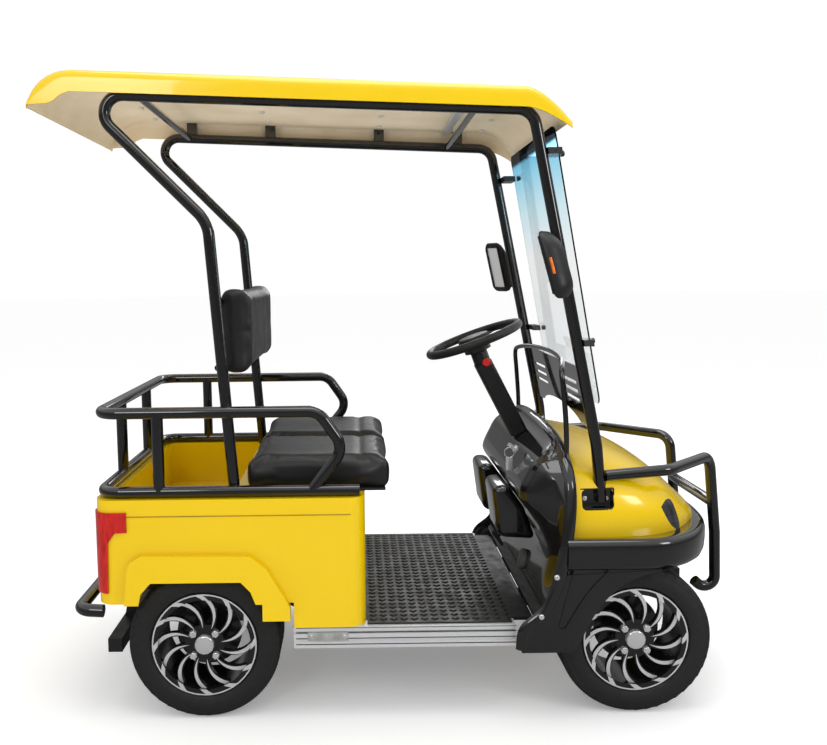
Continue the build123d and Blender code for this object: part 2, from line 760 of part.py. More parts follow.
with BuildPart() as rear_bumper:
    for side in sides.values():
        add(bent_tube([
            (station(-400), 0, 350),
            (station(-400), side * 440, 350),
            (station(-320), side * 440, 345),
        ], 40, 40))
        with Locations((station(-357.5), side * rail_y, 350)):
            Box(85, 30, 30)
save(rear_bumper, "rear_bumper")

# Lamps wrapped round the rear corners, L-shaped from the side.
lamp_thickness = 6.0
for side_name, side in sides.items():
    with BuildPart() as tail_lamp:
        with BuildSketch(Plane.XY.offset(418)):
            for skin, mode in ((lamp_thickness, Mode.ADD), (fit_gap, Mode.SUBTRACT)):
                with Locations((body_mid_x, 0)):
                    RectangleRounded(
                        body_length + 2 * skin, 2 * (body_half_width + skin), body_corner + skin, mode=mode
                    )
        extrude(amount=256)
        with BuildSketch(Plane((0, side * 425, 0), x_dir=(-side, 0, 0), z_dir=(0, side, 0))):
            with BuildLine():
                Polyline(*[(-side * station(x), z) for x, z in (
                    (-345, 418), (-289, 418), (-284, 580), (-262, 610), (-225, 612), (-225, 674), (-345, 674),
                )], close=True)
            make_face()
        extrude(amount=100, mode=Mode.INTERSECT)
    save(tail_lamp, f"tail_lamp_{side_name}")

# ---- Steering ----

wheel_centre = (station(912), 0, 1161)
steering_up = (-sin(radians(steering_tilt)), 0, cos(radians(steering_tilt)))
wheel_plane = Plane(wheel_centre, x_dir=(0, 1, 0), z_dir=steering_up)
with BuildPart(wheel_plane) as steering_wheel:
    Torus((steering_wheel_diameter - grip_diameter) / 2, grip_diameter / 2)
    with Locations((0, 0, -25)):
        Cylinder(48, 40)
    with Locations((0, 0, -62)):
        Cylinder(11, 40)
    with PolarLocations(100, 3, start_angle=90):
        with Locations((-2, 0, -10)):
            Box(130, 26, 10)
save(steering_wheel, "steering_wheel")

# The column stands square on the dash crest, so its length follows from the two.
column_top = (station(912) + 90 * sin(radians(steering_tilt)), 0, 1161 - 90 * cos(radians(steering_tilt)))
column_length = (
    (station(dash_crest[0]) - column_top[0]) * sin(radians(column_tilt))
    + (column_top[2] - dash_crest[1]) * cos(radians(column_tilt))
    - fit_gap
)
with BuildPart() as steering_column:
    with BuildSketch(wheel_plane.offset(-50)):
        Circle(30)
    extrude(amount=-60)
    with BuildSketch(wheel_plane.offset(-50)):
        Circle(11 + fit_gap)
    extrude(amount=-34, mode=Mode.SUBTRACT)
    column_plane = Plane(column_top, x_dir=(0, 1, 0), z_dir=(-sin(radians(column_tilt)), 0, cos(radians(column_tilt))))
    with BuildSketch(column_plane):
        RectangleRounded(70, 62, 12)
    extrude(amount=-column_length)
save(steering_column, "steering_column")

with BuildPart() as brake_pedal:
    with Locations(Location((station(985), -52, 455), (0, -35, 0))):
        Box(12, 74, 62)
    add(bent_tube([(station(990), -52, 452), (station(1076.1), -52, 523.7)], 0, 14))
save(brake_pedal, "brake_pedal")

for side_name, side in sides.items():
    with BuildPart() as mirror:
        with Locations(Location((station(1085), side * 515, 1420), (0, 0, side * 22))):
            Box(34, 150, 235)
        add(bent_tube([(station(1136), side * (pillar_y + tube_diameter / 2 + fit_gap), 1370), (station(1136), side * 462, 1370), (station(1095), side * 500, 1370)], 12, 16))
    save(mirror, f"mirror_{side_name}")
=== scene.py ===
from math import atan2, cos, pi, radians, sin, sqrt

import bpy
from mathutils import Matrix, Vector


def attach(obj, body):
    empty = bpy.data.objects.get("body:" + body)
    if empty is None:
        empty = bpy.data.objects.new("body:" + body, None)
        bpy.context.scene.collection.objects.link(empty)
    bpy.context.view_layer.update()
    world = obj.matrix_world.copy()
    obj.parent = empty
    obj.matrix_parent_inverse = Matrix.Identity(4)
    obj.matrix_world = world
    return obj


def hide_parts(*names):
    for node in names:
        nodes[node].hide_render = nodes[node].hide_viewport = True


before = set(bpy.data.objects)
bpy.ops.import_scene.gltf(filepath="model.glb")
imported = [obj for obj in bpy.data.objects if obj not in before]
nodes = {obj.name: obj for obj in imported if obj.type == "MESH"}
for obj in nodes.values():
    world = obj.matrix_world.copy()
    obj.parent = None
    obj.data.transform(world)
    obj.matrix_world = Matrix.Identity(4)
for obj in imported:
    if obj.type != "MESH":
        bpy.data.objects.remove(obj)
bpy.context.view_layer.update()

scene = bpy.context.scene

# ---- Studio ----
# A pale floor in a white room with soft boxes, seen from the cart's right side at chest
# height. Shiny surfaces mirror the room darker than it is, so that gloss black stays black.


def worked(tree, operation, *inputs):
    """One arithmetic step in a node tree, on numbers or on other nodes' outputs."""
    step = tree.nodes.new("ShaderNodeMath")
    step.operation = operation
    for socket, value in zip(step.inputs, inputs):
        if isinstance(value, (int, float)):
            socket.default_value = value
        else:
            tree.links.new(value, socket)
    return step.outputs["Value"]


def ramp_of(tree, source, *stops):
    """A colour ramp over a value, from pairs of position and tone: the two ends, then the rest."""
    ramp = tree.nodes.new("ShaderNodeValToRGB")
    points = ramp.color_ramp.elements
    for index, (position, tone) in enumerate(stops):
        point = points[index] if index < 2 else points.new(position)
        point.position = position
        point.color = (*tone, 1) if isinstance(tone, tuple) else (tone, tone, tone, 1)
    tree.links.new(source, ramp.inputs["Fac"])
    return ramp.outputs["Color"]


def mirrored_share(tree):
    """1 where a shiny surface mirrors the room, 0 where the room is seen or lights something."""
    sight = tree.nodes.new("ShaderNodeLightPath").outputs
    return worked(tree, "MULTIPLY", sight["Is Glossy Ray"], worked(tree, "SUBTRACT", 1, sight["Is Transmission Ray"]))


floor_radius, floor_drop = 60, 0.0005
bpy.ops.object.select_all(action="DESELECT")
bpy.ops.mesh.primitive_circle_add(
    vertices=96, radius=floor_radius, fill_type="NGON", location=(0, 0, -floor_drop)
)
floor = bpy.context.object
floor.name = "studio_floor"
pale_floor = bpy.data.materials.new("pale_floor")
pale_floor.use_nodes = True
floor_tree = pale_floor.node_tree
floor_shader = floor_tree.nodes["Principled BSDF"]
floor_tone = ramp_of(floor_tree, mirrored_share(floor_tree), (0, 0.94), (1, 0.22))
floor_tree.links.new(floor_tone, floor_shader.inputs["Base Color"])
floor_glow = worked(floor_tree, "MULTIPLY_ADD", mirrored_share(floor_tree), -0.2, 0.2)
floor_tree.links.new(floor_glow, floor_shader.inputs["Emission Strength"])
floor_shader.inputs["Emission Color"].default_value = (1, 1, 1, 1)
floor_shader.inputs["Roughness"].default_value = 0.85
floor_shader.inputs["Specular IOR Level"].default_value = 0.1
floor.data.materials.append(pale_floor)

room = bpy.data.worlds.new("white_room")
room.use_nodes = True
scene.world = room
room_tree = room.node_tree
seen_wall = room_tree.nodes["Background"]
seen_wall.inputs["Color"].default_value = (1, 1, 1, 1)
wall_sight = room_tree.nodes.new("ShaderNodeLightPath").outputs
wall_seen = worked(room_tree, "MAXIMUM", wall_sight["Is Camera Ray"], wall_sight["Is Transmission Ray"])
room_tree.links.new(worked(room_tree, "MULTIPLY_ADD", wall_seen, 0.18, 0.84), seen_wall.inputs["Strength"])
mirrored_wall = room_tree.nodes.new("ShaderNodeBackground")
wall_direction = room_tree.nodes.new("ShaderNodeTexCoord")
wall_height = room_tree.nodes.new("ShaderNodeSeparateXYZ")
room_tree.links.new(wall_direction.outputs["Generated"], wall_height.inputs["Vector"])
wall_tone = ramp_of(room_tree, wall_height.outputs["Z"], (0.12, 0.14), (0.62, 0.85))
room_tree.links.new(wall_tone, mirrored_wall.inputs["Color"])
either_wall = room_tree.nodes.new("ShaderNodeMixShader")
room_tree.links.new(mirrored_share(room_tree), either_wall.inputs["Fac"])
room_tree.links.new(seen_wall.outputs["Background"], either_wall.inputs[1])
room_tree.links.new(mirrored_wall.outputs["Background"], either_wall.inputs[2])
room_tree.links.new(either_wall.outputs["Shader"], room_tree.nodes["World Output"].inputs["Surface"])

soft_boxes = (
    ("overhead", (0.2, -0.4, 4.4), (0.0, 0.0, 0.6), 3.0, 70),
    ("key", (-2.2, -5.2, 3.4), (0.1, 0.0, 0.8), 1.2, 26),
    ("front_fill", (3.6, -3.0, 2.6), (0.4, 0.0, 0.7), 1.0, 24),
    ("rear_fill", (1.0, 5.0, 3.4), (0.0, 0.0, 0.9), 2.0, 40),
)
for name, place, target, width, watts in soft_boxes:
    light = bpy.data.lights.new(name, "AREA")
    light.shape = "SQUARE"
    light.size = width
    light.energy = watts
    lamp = bpy.data.objects.new(name, light)
    scene.collection.objects.link(lamp)
    lamp.location = place
    lamp.rotation_euler = (Vector(target) - Vector(place)).to_track_quat("-Z", "Y").to_euler()

camera_place = (-0.1368, -3.0933, 1.3966)
camera_pitch = radians(5.544)
camera_yaw = radians(-0.0633)
camera_roll = radians(-0.697)
lens = bpy.data.cameras.new("camera")
lens.sensor_width = 36
lens.lens = 37.675
lens.shift_x = 0.0681
lens.shift_y = -0.0172
lens.clip_end = 200
camera = bpy.data.objects.new("camera", lens)
scene.collection.objects.link(camera)
camera.matrix_world = (
    Matrix.Translation(camera_place)
    @ Matrix.Rotation(camera_yaw, 4, "Z")
    @ Matrix.Rotation(pi / 2 - camera_pitch, 4, "X")
    @ Matrix.Rotation(camera_roll, 4, "Z")
)
scene.camera = camera
scene.view_settings.view_transform = "Standard"


# ---- Chassis, axles and springs ----
# Square steel rails and cross members, a live rear axle, a dropped front axle and leaf springs,
# welded or bolted up and sprayed satin black over slightly uneven steel.

rear_axle_x = -0.6263
both_sides = (("right", -1), ("left", 1))


def at(station, y, z):
    """A place given in millimetres, its first number the distance ahead of the rear axle."""
    return Vector((rear_axle_x + station / 1000, y / 1000, z / 1000))


def paint(name, colour, roughness, metallic=0.0, coat=0.0):
    """A finish with one colour and gloss, for its own nodes to vary."""
    material = bpy.data.materials.new(name)
    material.use_nodes = True
    shader = material.node_tree.nodes["Principled BSDF"]
    shader.inputs["Base Color"].default_value = (*colour, 1)
    shader.inputs["Roughness"].default_value = roughness
    shader.inputs["Metallic"].default_value = metallic
    shader.inputs["Coat Weight"].default_value = coat
    shader.inputs["Coat Roughness"].default_value = 0.03
    return material


def noise_of(material, scale, detail, stretch):
    """A noise in the object's own space."""
    tree = material.node_tree
    place = tree.nodes.new("ShaderNodeTexCoord")
    turn = tree.nodes.new("ShaderNodeMapping")
    turn.inputs["Scale"].default_value = stretch
    noise = tree.nodes.new("ShaderNodeTexNoise")
    noise.inputs["Scale"].default_value = scale
    noise.inputs["Detail"].default_value = detail
    tree.links.new(place.outputs["Object"], turn.inputs["Vector"])
    tree.links.new(turn.outputs["Vector"], noise.inputs["Vector"])
    return noise


def speckle(material, input_name, scale, low, high, detail=4.0, stretch=(1, 1, 1)):
    """Moves one input of the finish between two values, in soft patches."""
    tree = material.node_tree
    patches = noise_of(material, scale, detail, stretch).outputs["Fac"]
    tree.links.new(
        ramp_of(tree, patches, (0.3, low), (0.7, high)), tree.nodes["Principled BSDF"].inputs[input_name]
    )
    return material


def grain(material, scale, depth, stretch=(1, 1, 1), detail=3.0):
    """Fine relief in the surface, in metres of depth."""
    tree = material.node_tree
    bump = tree.nodes.new("ShaderNodeBump")
    bump.inputs["Distance"].default_value = depth
    tree.links.new(noise_of(material, scale, detail, stretch).outputs["Fac"], bump.inputs["Height"])
    tree.links.new(bump.outputs["Normal"], tree.nodes["Principled BSDF"].inputs["Normal"])
    return material


def dress(material, *names):
    for name in names:
        nodes[name].data.materials.clear()
        nodes[name].data.materials.append(material)


frame_black = paint("frame_black", (0.009, 0.009, 0.010), 0.42, coat=0.1)
speckle(frame_black, "Roughness", 18, 0.34, 0.52)
grain(frame_black, 140, 0.0006)
dress(frame_black, "chassis_frame", "rear_axle", "front_axle", "rear_springs", "front_springs", "floor_pan",
      "knuckle_left", "knuckle_right", "battery_pack")

# ---- Wheels ----
# Cast alloy rims with twelve curved spokes, machined bright on their faces over gloss black,
# with road tyres, brake discs behind, black hub discs, chrome lug nuts and centre caps.

scene.tool_settings.mesh_select_mode = (False, False, True)


def only(piece):
    """Selects one piece alone and makes it the active one."""
    if bpy.context.object and bpy.context.object.mode != "OBJECT":
        bpy.ops.object.mode_set(mode="OBJECT")
    bpy.ops.object.select_all(action="DESELECT")
    piece.select_set(True)
    bpy.context.view_layer.objects.active = piece
    return piece


def block(name, size, place=(0, 0, 0), tilt=0.0):
    """A plain block by its three sizes in metres, its middle at a place, tilted about Y."""
    bpy.ops.mesh.primitive_cube_add(size=1, location=place, rotation=(0, tilt, 0))
    piece = bpy.context.object
    piece.name = name
    piece.scale = size
    only(piece)
    bpy.ops.object.transform_apply(location=True, rotation=True, scale=True)
    return piece


def edit_faces(piece, wanted):
    """Opens a piece for editing with only the wanted faces selected."""
    only(piece)
    for parts in (piece.data.vertices, piece.data.edges):
        parts.foreach_set("select", [False] * len(parts))
    for face in piece.data.polygons:
        face.select = wanted(face)
    bpy.ops.object.mode_set(mode="EDIT")


def finish_mesh(piece, bevel=0.0, segments=2, limit=30, smooth=35):
    """Settles the piece at the origin, applies its modifiers, rounds its sharp edges and shades it."""
    only(piece)
    bpy.ops.object.transform_apply(location=True, rotation=True, scale=True)
    if bevel:
        rounding = piece.modifiers.new("rounding", "BEVEL")
        rounding.width = bevel
        rounding.segments = segments
        rounding.limit_method = "ANGLE"
        rounding.angle_limit = radians(limit)
        rounding.use_clamp_overlap = True
    for modifier in list(piece.modifiers):
        bpy.ops.object.modifier_apply(modifier=modifier.name)
    bpy.ops.object.shade_smooth_by_angle(angle=radians(smooth))
    return piece


def outwards(piece):
    """Merges doubled corners and turns every face outwards."""
    only(piece)
    bpy.ops.object.mode_set(mode="EDIT")
    bpy.ops.mesh.select_all(action="SELECT")
    bpy.ops.mesh.remove_doubles(threshold=0.00005)
    bpy.ops.mesh.normals_make_consistent(inside=False)
    bpy.ops.object.mode_set(mode="OBJECT")
    return piece


def joined(name, pieces):
    """Several pieces made one."""
    only(pieces[0])
    for piece in pieces:
        piece.select_set(True)
    if len(pieces) > 1:
        bpy.ops.object.join()
    pieces[0].name = name
    return pieces[0]


def copied(name, model, places):
    """A model copied to several places, each copy with its own mesh, and joined."""
    copies = []
    for place in places:
        copy = model.copy()
        copy.data = model.data.copy()
        copy.data.transform(place)
        scene.collection.objects.link(copy)
        copies.append(copy)
    bpy.data.objects.remove(model)
    return joined(name, copies)


def finished(piece, body, material_slot, *materials):
    piece.data.materials.clear()
    for material in materials:
        piece.data.materials.append(material)
    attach(piece, body)
    return piece


def rod(name, width, length, sides=24, dome=0.0):
    """A short round bar along Z from the origin, its far rim rounded over."""
    bpy.ops.mesh.primitive_cylinder_add(
        vertices=sides, radius=width / 2, depth=length, location=(0, 0, length / 2)
    )
    bar = bpy.context.object
    bar.name = name
    only(bar)
    bpy.ops.object.transform_apply(location=True)
    edit_faces(bar, lambda face: face.normal.z > 0.9)
    bpy.ops.mesh.bevel(offset=dome or min(width, length) * 0.2, segments=3, affect="EDGES")
    bpy.ops.object.mode_set(mode="OBJECT")
    return bar


tyre_rubber = paint("tyre_rubber", (0.011, 0.011, 0.011), 0.62)
speckle(tyre_rubber, "Roughness", 30, 0.5, 0.75)
grain(tyre_rubber, 260, 0.0004)
chrome = paint("chrome", (0.86, 0.86, 0.87), 0.08, metallic=0.75)
speckle(chrome, "Roughness", 40, 0.05, 0.12)
hub_black = paint("hub_black", (0.008, 0.008, 0.009), 0.2, coat=0.5)
speckle(hub_black, "Roughness", 24, 0.16, 0.28)

# Spokes: where they start and how far they run, their count, and the angle of their middle
# line as a + b t + c t^2 radians over that run, from the CAD's own arcs.
spoke_start, spoke_run, spoke_count = 0.058, 0.092, 12
swirl_a, swirl_b, swirl_c = radians(6), radians(3), radians(20)
bright_edge_radius = 0.1605


def alloy_of(corner, wheel, side):
    """A rim's finish: a machined band down each spoke's face and a bright outer edge on gloss black."""
    material = paint(f"alloy_{corner}", (0.8, 0.8, 0.81), 0.18, coat=0.3)
    tree = material.node_tree

    place = tree.nodes.new("ShaderNodeTexCoord")
    from_axle = tree.nodes.new("ShaderNodeMapping")
    from_axle.inputs["Scale"].default_value = (1, 0, 1)
    from_axle.inputs["Location"].default_value = (-wheel.x, 0, -wheel.z)
    radius = tree.nodes.new("ShaderNodeVectorMath")
    radius.operation = "LENGTH"
    parts = tree.nodes.new("ShaderNodeSeparateXYZ")
    facing = tree.nodes.new("ShaderNodeSeparateXYZ")
    tree.links.new(place.outputs["Object"], from_axle.inputs["Vector"])
    tree.links.new(from_axle.outputs["Vector"], radius.inputs[0])
    tree.links.new(from_axle.outputs["Vector"], parts.inputs["Vector"])
    tree.links.new(place.outputs["Normal"], facing.inputs["Vector"])
    # The spokes swirl: their angle grows with the distance from the axle.
    distance = radius.outputs["Value"]
    along = worked(tree, "MULTIPLY_ADD", distance, 1 / spoke_run, -spoke_start / spoke_run)
    slope = worked(tree, "MULTIPLY_ADD", along, spoke_count * swirl_c, spoke_count * swirl_b)
    swirl = worked(tree, "MULTIPLY_ADD", slope, along, spoke_count * swirl_a)
    angle = worked(tree, "ARCTAN2", parts.outputs["Z"], parts.outputs["X"])
    turned = worked(tree, "MULTIPLY", angle, spoke_count)
    on_spoke = worked(tree, "COSINE", worked(tree, "MULTIPLY_ADD", swirl, side, turned))
    band = worked(tree, "GREATER_THAN", on_spoke, worked(tree, "MULTIPLY_ADD", along, -0.28, 0.98))
    edge = worked(tree, "GREATER_THAN", distance, bright_edge_radius)
    flat_on = worked(tree, "GREATER_THAN", worked(tree, "ABSOLUTE", facing.outputs["Y"]), 0.9)
    bright = worked(tree, "MULTIPLY", worked(tree, "MAXIMUM", band, edge), flat_on)
    shader = tree.nodes["Principled BSDF"]
    tone = ramp_of(tree, bright, (0, (0.007, 0.007, 0.008)), (1, (0.82, 0.82, 0.84)))
    tree.links.new(tone, shader.inputs["Base Color"])
    tree.links.new(worked(tree, "MULTIPLY", bright, 0.6), shader.inputs["Metallic"])
    return grain(material, 900, 0.00005, stretch=(1, 0.02, 1))


tread_count = 44
wheel_y, wheel_z, spoke_face_y = 0.379, 0.24, 0.4545
lug_circle_radius = 0.05
for axle, wheel_x in (("rear", rear_axle_x), ("front", rear_axle_x + 1.36)):
    for side_name, side in both_sides:
        corner = f"{axle}_{side_name}"
        body = f"wheel_{corner}"
        dress(tyre_rubber, f"tyre_{corner}")
        dress(hub_black, f"hub_{corner}")
        wheel = Vector((wheel_x, side * wheel_y, wheel_z))
        dress(alloy_of(corner, wheel, side), f"rim_{corner}")
        on_face = Matrix.Translation((wheel.x, side * spoke_face_y, wheel.z))
        outwards_turn = Matrix.Rotation(side * -pi / 2, 4, "X")
        # Tread lugs over both shoulders.
        lug = block("lug", (0.023, 0.03, 0.005))
        edit_faces(lug, lambda face: True)
        bpy.ops.mesh.bevel(offset=0.0018, segments=1, affect="EDGES")
        bpy.ops.object.mode_set(mode="OBJECT")
        lug_places = []
        for index in range(tread_count):
            turn = 2 * pi * index / tread_count
            for shoulder in (-1, 1):
                lug_places.append(
                    Matrix.Translation(wheel)
                    @ Matrix.Rotation(turn + shoulder * pi / tread_count / 2, 4, "Y")
                    @ Matrix.Translation((0, shoulder * 0.0705, 0.2345))
                    @ Matrix.Rotation(shoulder * -0.24, 4, "X")
                    @ Matrix.Rotation(shoulder * 0.3, 4, "Z")
                )
        tread = copied(f"tread_{corner}", lug, lug_places)
        finish_mesh(tread)
        finished(tread, body, "tyre_rubber", tyre_rubber)
        # Four chrome lug nuts and the centre cap.
        nut = rod("lug_nut", 0.024, 0.0165, sides=6, dome=0.003)
        nuts = copied(f"lug_nuts_{corner}", nut, [
            on_face
            @ Matrix.Rotation(pi / 4 + quarter * pi / 2, 4, "Y")
            @ Matrix.Translation((0, 0, lug_circle_radius))
            @ outwards_turn
            for quarter in range(4)
        ])
        cap = rod("centre_cap", 0.061, 0.018, sides=40, dome=0.006)
        cap.data.transform(on_face @ outwards_turn)
        hub_bright = joined(f"hub_bright_{corner}", [nuts, cap])
        finish_mesh(hub_bright)
        finished(hub_bright, body, "steel", chrome)

# ---- Sills and floor ----
# Extruded aluminium running boards with grooves along them, the shade in each groove painted as a thin black strip, a
# blank rating plate screwed to the near one, and a black rubber mat moulded with rows of studs over the steel floor.

aluminium = paint("aluminium", (0.74, 0.745, 0.76), 0.32, metallic=0.45)
speckle(aluminium, "Roughness", 60, 0.26, 0.42, stretch=(0.05, 1, 1))
grain(aluminium, 500, 0.00008, stretch=(0.02, 1, 1))
dress(aluminium, "sill_left", "sill_right")
# Painted shade: near-black strips laid along the sill faces where the shade in the grooves falls.
groove_shade_black = paint("groove_shade_black", (0.004, 0.004, 0.004), 0.6)
grain(groove_shade_black, 200, 0.0003)
sill_middle, sill_length, sill_face_y = 636, 0.692, 479.2
for side_name, side in both_sides:
    grooves = joined(f"sill_groove_shade_{side_name}", [
        block("groove", (sill_length, 0.0014, width), at(sill_middle, side * sill_face_y, height))
        for height, width in ((243, 0.0026), (262, 0.0026), (281, 0.0026), (296, 0.0016))
    ])
    finish_mesh(grooves, bevel=0.0004)
    finished(grooves, "chassis", "frame_black", groove_shade_black)
plate_middle, plate_height = 391, 269
rating_plate = block("blank_plate", (0.128, 0.0016, 0.027), at(plate_middle, -480.0, plate_height))
finish_mesh(rating_plate, bevel=0.0006)
plate_metal = paint("plate_metal", (0.55, 0.55, 0.53), 0.4, metallic=0.6)
speckle(plate_metal, "Base Color", 40, (0.42, 0.42, 0.40), (0.66, 0.66, 0.63))
finished(rating_plate, "chassis", "aluminium", plate_metal)
plate_bolt = rod("plate_bolt", 0.012, 0.004, sides=20, dome=0.0015)
plate_bolts = copied("plate_bolts", plate_bolt, [
    Matrix.Translation(at(plate_middle + along, -480.4, plate_height)) @ Matrix.Rotation(pi / 2, 4, "X")
    for along in (-52, 52)
])
finish_mesh(plate_bolts)
finished(plate_bolts, "chassis", "steel", chrome)

mat_rubber = paint("mat_rubber", (0.010, 0.010, 0.010), 0.45)
speckle(mat_rubber, "Roughness", 25, 0.36, 0.6)
grain(mat_rubber, 350, 0.0004)
dress(mat_rubber, "floor_mat")
stud = block("mat_studs", (0.021, 0.021, 0.0040))
for corner in stud.data.vertices:
    if corner.co.z > 0:
        corner.co.x *= 0.55
        corner.co.y *= 0.55
stud.data.transform(Matrix.Translation(at(534, -440, 308)) @ Matrix.Rotation(pi / 4, 4, "Z"))
stud_step = 0.0325
for along, count in ((0, 14), (1, 28)):
    rows = stud.modifiers.new("rows", "ARRAY")
    rows.use_relative_offset = False
    rows.use_constant_offset = True
    rows.constant_offset_displace = (stud_step, 0, 0) if along == 0 else (0, stud_step, 0)
    rows.count = count
finish_mesh(stud)
finished(stud, "chassis", "rubber_mat", mat_rubber)

# ---- Rear body ----
# A gloss yellow moulded tub with the cargo well in it, its top edge banded, and flares over the
# wheel arches; bolted down to the ladder frame.

body_yellow = paint("body_yellow", (0.82, 0.55, 0.0), 0.18, coat=0.4)
speckle(body_yellow, "Base Color", 3, (0.81, 0.54, 0.0), (0.83, 0.56, 0.0))
grain(body_yellow, 9, 0.0008, detail=1)
dress(body_yellow, "rear_body")


def sheet_of(name, columns, rows, place):
    """A grid laid out corner by corner: place gives each corner from its column and row."""
    bpy.ops.mesh.primitive_grid_add(x_subdivisions=columns - 1, y_subdivisions=rows - 1, size=1)
    sheet = bpy.context.object
    sheet.name = name
    for corner in sheet.data.vertices:
        corner.co = place(corner.index % columns, corner.index // columns)
    return sheet


def plate_of(name, outline, thickness, across=1):
    """A flat plate from its outline of (station, y, height), standing out by its thickness in Y."""
    bpy.ops.mesh.primitive_circle_add(vertices=len(outline), radius=1, fill_type="NGON")
    plate = bpy.context.object
    plate.name = name
    for corner, (station, y, height) in zip(plate.data.vertices, outline):
        corner.co = at(station, y, height)
    only(plate)
    bpy.ops.object.mode_set(mode="EDIT")
    bpy.ops.mesh.select_all(action="SELECT")
    out = (0, across * thickness / 1000, 0)
    bpy.ops.mesh.extrude_region_move(TRANSFORM_OT_translate={"value": out})
    bpy.ops.object.mode_set(mode="OBJECT")
    return outwards(plate)


def smooth_line(points, steps=8):
    """Rounds a line of points into a flowing one that still passes through them."""
    points = [Vector(point) for point in points]
    ends = [2 * points[0] - points[1], *points, 2 * points[-1] - points[-2]]
    line = []
    for index in range(1, len(ends) - 2):
        before, start, stop, after = ends[index - 1:index + 3]
        for step in range(steps):
            share = step / steps
            line.append(0.5 * (
                2 * start
                + (stop - before) * share
                + (2 * before - 5 * start + 4 * stop - after) * share**2
                + (3 * start - before - 3 * stop + after) * share**3
            ))
    line.append(points[-1])
    return line


# The seam under the top band, all round the tub, drawn as a strip of painted shade: its four rounded corners in turn.
tub_front, tub_back, tub_half_width, corner_radius, seam_height = 506, -323, 485, 55, 660
band_path = []
for station, y, start in (
    (tub_front - corner_radius, corner_radius - tub_half_width, -90),
    (tub_front - corner_radius, tub_half_width - corner_radius, 0),
    (tub_back + corner_radius, tub_half_width - corner_radius, 90),
    (tub_back + corner_radius, corner_radius - tub_half_width, 180),
):
    for step in range(9):
        angle = radians(start + step * 90 / 8)
        reach = corner_radius + 0.3
        band_path.append(at(station + reach * cos(angle), y + reach * sin(angle), seam_height))
band_path.append(band_path[0])


def ribbon_of(name, path, width, depth, upright=(0, 0, 1)):
    """A flat strip along a path, wide along one direction and as deep as given across it."""
    upright = Vector(upright)

    def corner(column, row):
        here = path[column]
        before, after = path[max(column - 1, 0)], path[min(column + 1, len(path) - 1)]
        side_on = (after - before).normalized().cross(upright).normalized()
        up, out = ((-1, -1), (-1, 1), (1, 1), (1, -1), (-1, -1))[row]
        return here + upright * up * width / 2 + side_on * out * depth / 2
    return sheet_of(name, len(path), 5, corner)


band_seam_shade = ribbon_of("body_band_seam", band_path, 0.003, 0.0022)
outwards(band_seam_shade)
finish_mesh(band_seam_shade)
# Painted shade: the strip is the body's yellow darkened, standing for the shade that falls in the seam.
shaded_seam_yellow = paint("shaded_seam_yellow", (0.36, 0.21, 0.0), 0.4)
speckle(shaded_seam_yellow, "Base Color", 20, (0.30, 0.17, 0.0), (0.42, 0.25, 0.0))
finished(band_seam_shade, "chassis", "yellow_body", shaded_seam_yellow)

# Tail lamps: red lenses wrapped round the rear corners.
lamp_red = paint("lamp_red", (0.5, 0.006, 0.005), 0.12, coat=0.5)
speckle(lamp_red, "Base Color", 90, (0.36, 0.003, 0.003), (0.62, 0.016, 0.01), stretch=(1, 1, 0.25))
dress(lamp_red, "tail_lamp_left", "tail_lamp_right")

# ---- Tubes ----
# Steel tube bent cold, welded and powder coated gloss black: cage and arm rests, pillars, roof
# frame, nose guard, bumper and the bars behind the backrest.

gloss_tube = paint("gloss_tube", (0.0035, 0.0035, 0.004), 0.1, coat=1.0)
speckle(gloss_tube, "Roughness", 9, 0.07, 0.15)
dress(gloss_tube, "cargo_cage", "front_pillar_left", "front_pillar_right", "rear_pillar_left", "rear_pillar_right",
      "roof_frame", "front_guard", "rear_bumper", "backrest_frame")

# ---- Canopy ----
# One moulded shell, gloss yellow outside and cream inside, rounded over at its sides, tail and
# brow, and bolted through pads to the tube frame below it.

roof_cream = paint("roof_cream", (0.80, 0.66, 0.46), 0.55)
speckle(roof_cream, "Base Color", 5, (0.74, 0.60, 0.40), (0.86, 0.73, 0.53))
grain(roof_cream, 120, 0.0006)
roof_half_width, roof_crown = 455, 26
roof_stations = [-485, -484, -481, -476, -468, -457, -443, -426, -406, -385, -357]
roof_stations += [-357 + step * 1361 / 16 for step in range(1, 17)]
roof_stations += [1004 + step * 141 / 14 for step in range(1, 15)]


def roof_top(station):
    """The height of the roof's top: straight, with a round tail and a drooping brow."""
    if station < -357:
        return 1903 + 113 * sqrt(max(0, 1 - ((-357 - station) / 128) ** 2))
    straight = 2016 - 62 * (station + 357) / 1361
    if station > 1004:
        return straight - 100 * ((station - 1004) / 141) ** 1.7
    return straight


def roof_hem(station):
    """The height of the skirt's lower edge."""
    if station < -372:
        share = max(0, (station + 420) / 48)
        return min(1912 + 3 * (station + 485) / 65 + 35 * share**1.5, roof_top(station) - 4)
    if station > 1004:
        return 1889 - 64 * ((station - 1004) / 141) ** 1.6
    return 1950 - 61 * (station + 372) / 1376


roof_across = [(1.0, 0.0), (1.0, 0.35), (1.0, 0.7)]
roof_across += [("arc", angle) for angle in (0, 15, 30, 45, 60, 75, 90)]
roof_rows = len(roof_across) * 2


def roof_corner(column, row):
    station = roof_stations[column]
    side = -1 if row < len(roof_across) else 1
    kind, amount = roof_across[row if side < 0 else roof_rows - 1 - row]
    top, hem = roof_top(station), roof_hem(station)
    crown = min(roof_crown, max(2, top - hem - 2))
    if kind == "arc":
        angle = radians(amount)
        return at(station, side * (roof_half_width - crown + crown * cos(angle)), top - crown + crown * sin(angle))
    return at(station, side * roof_half_width, hem + (top - crown - hem) * amount)


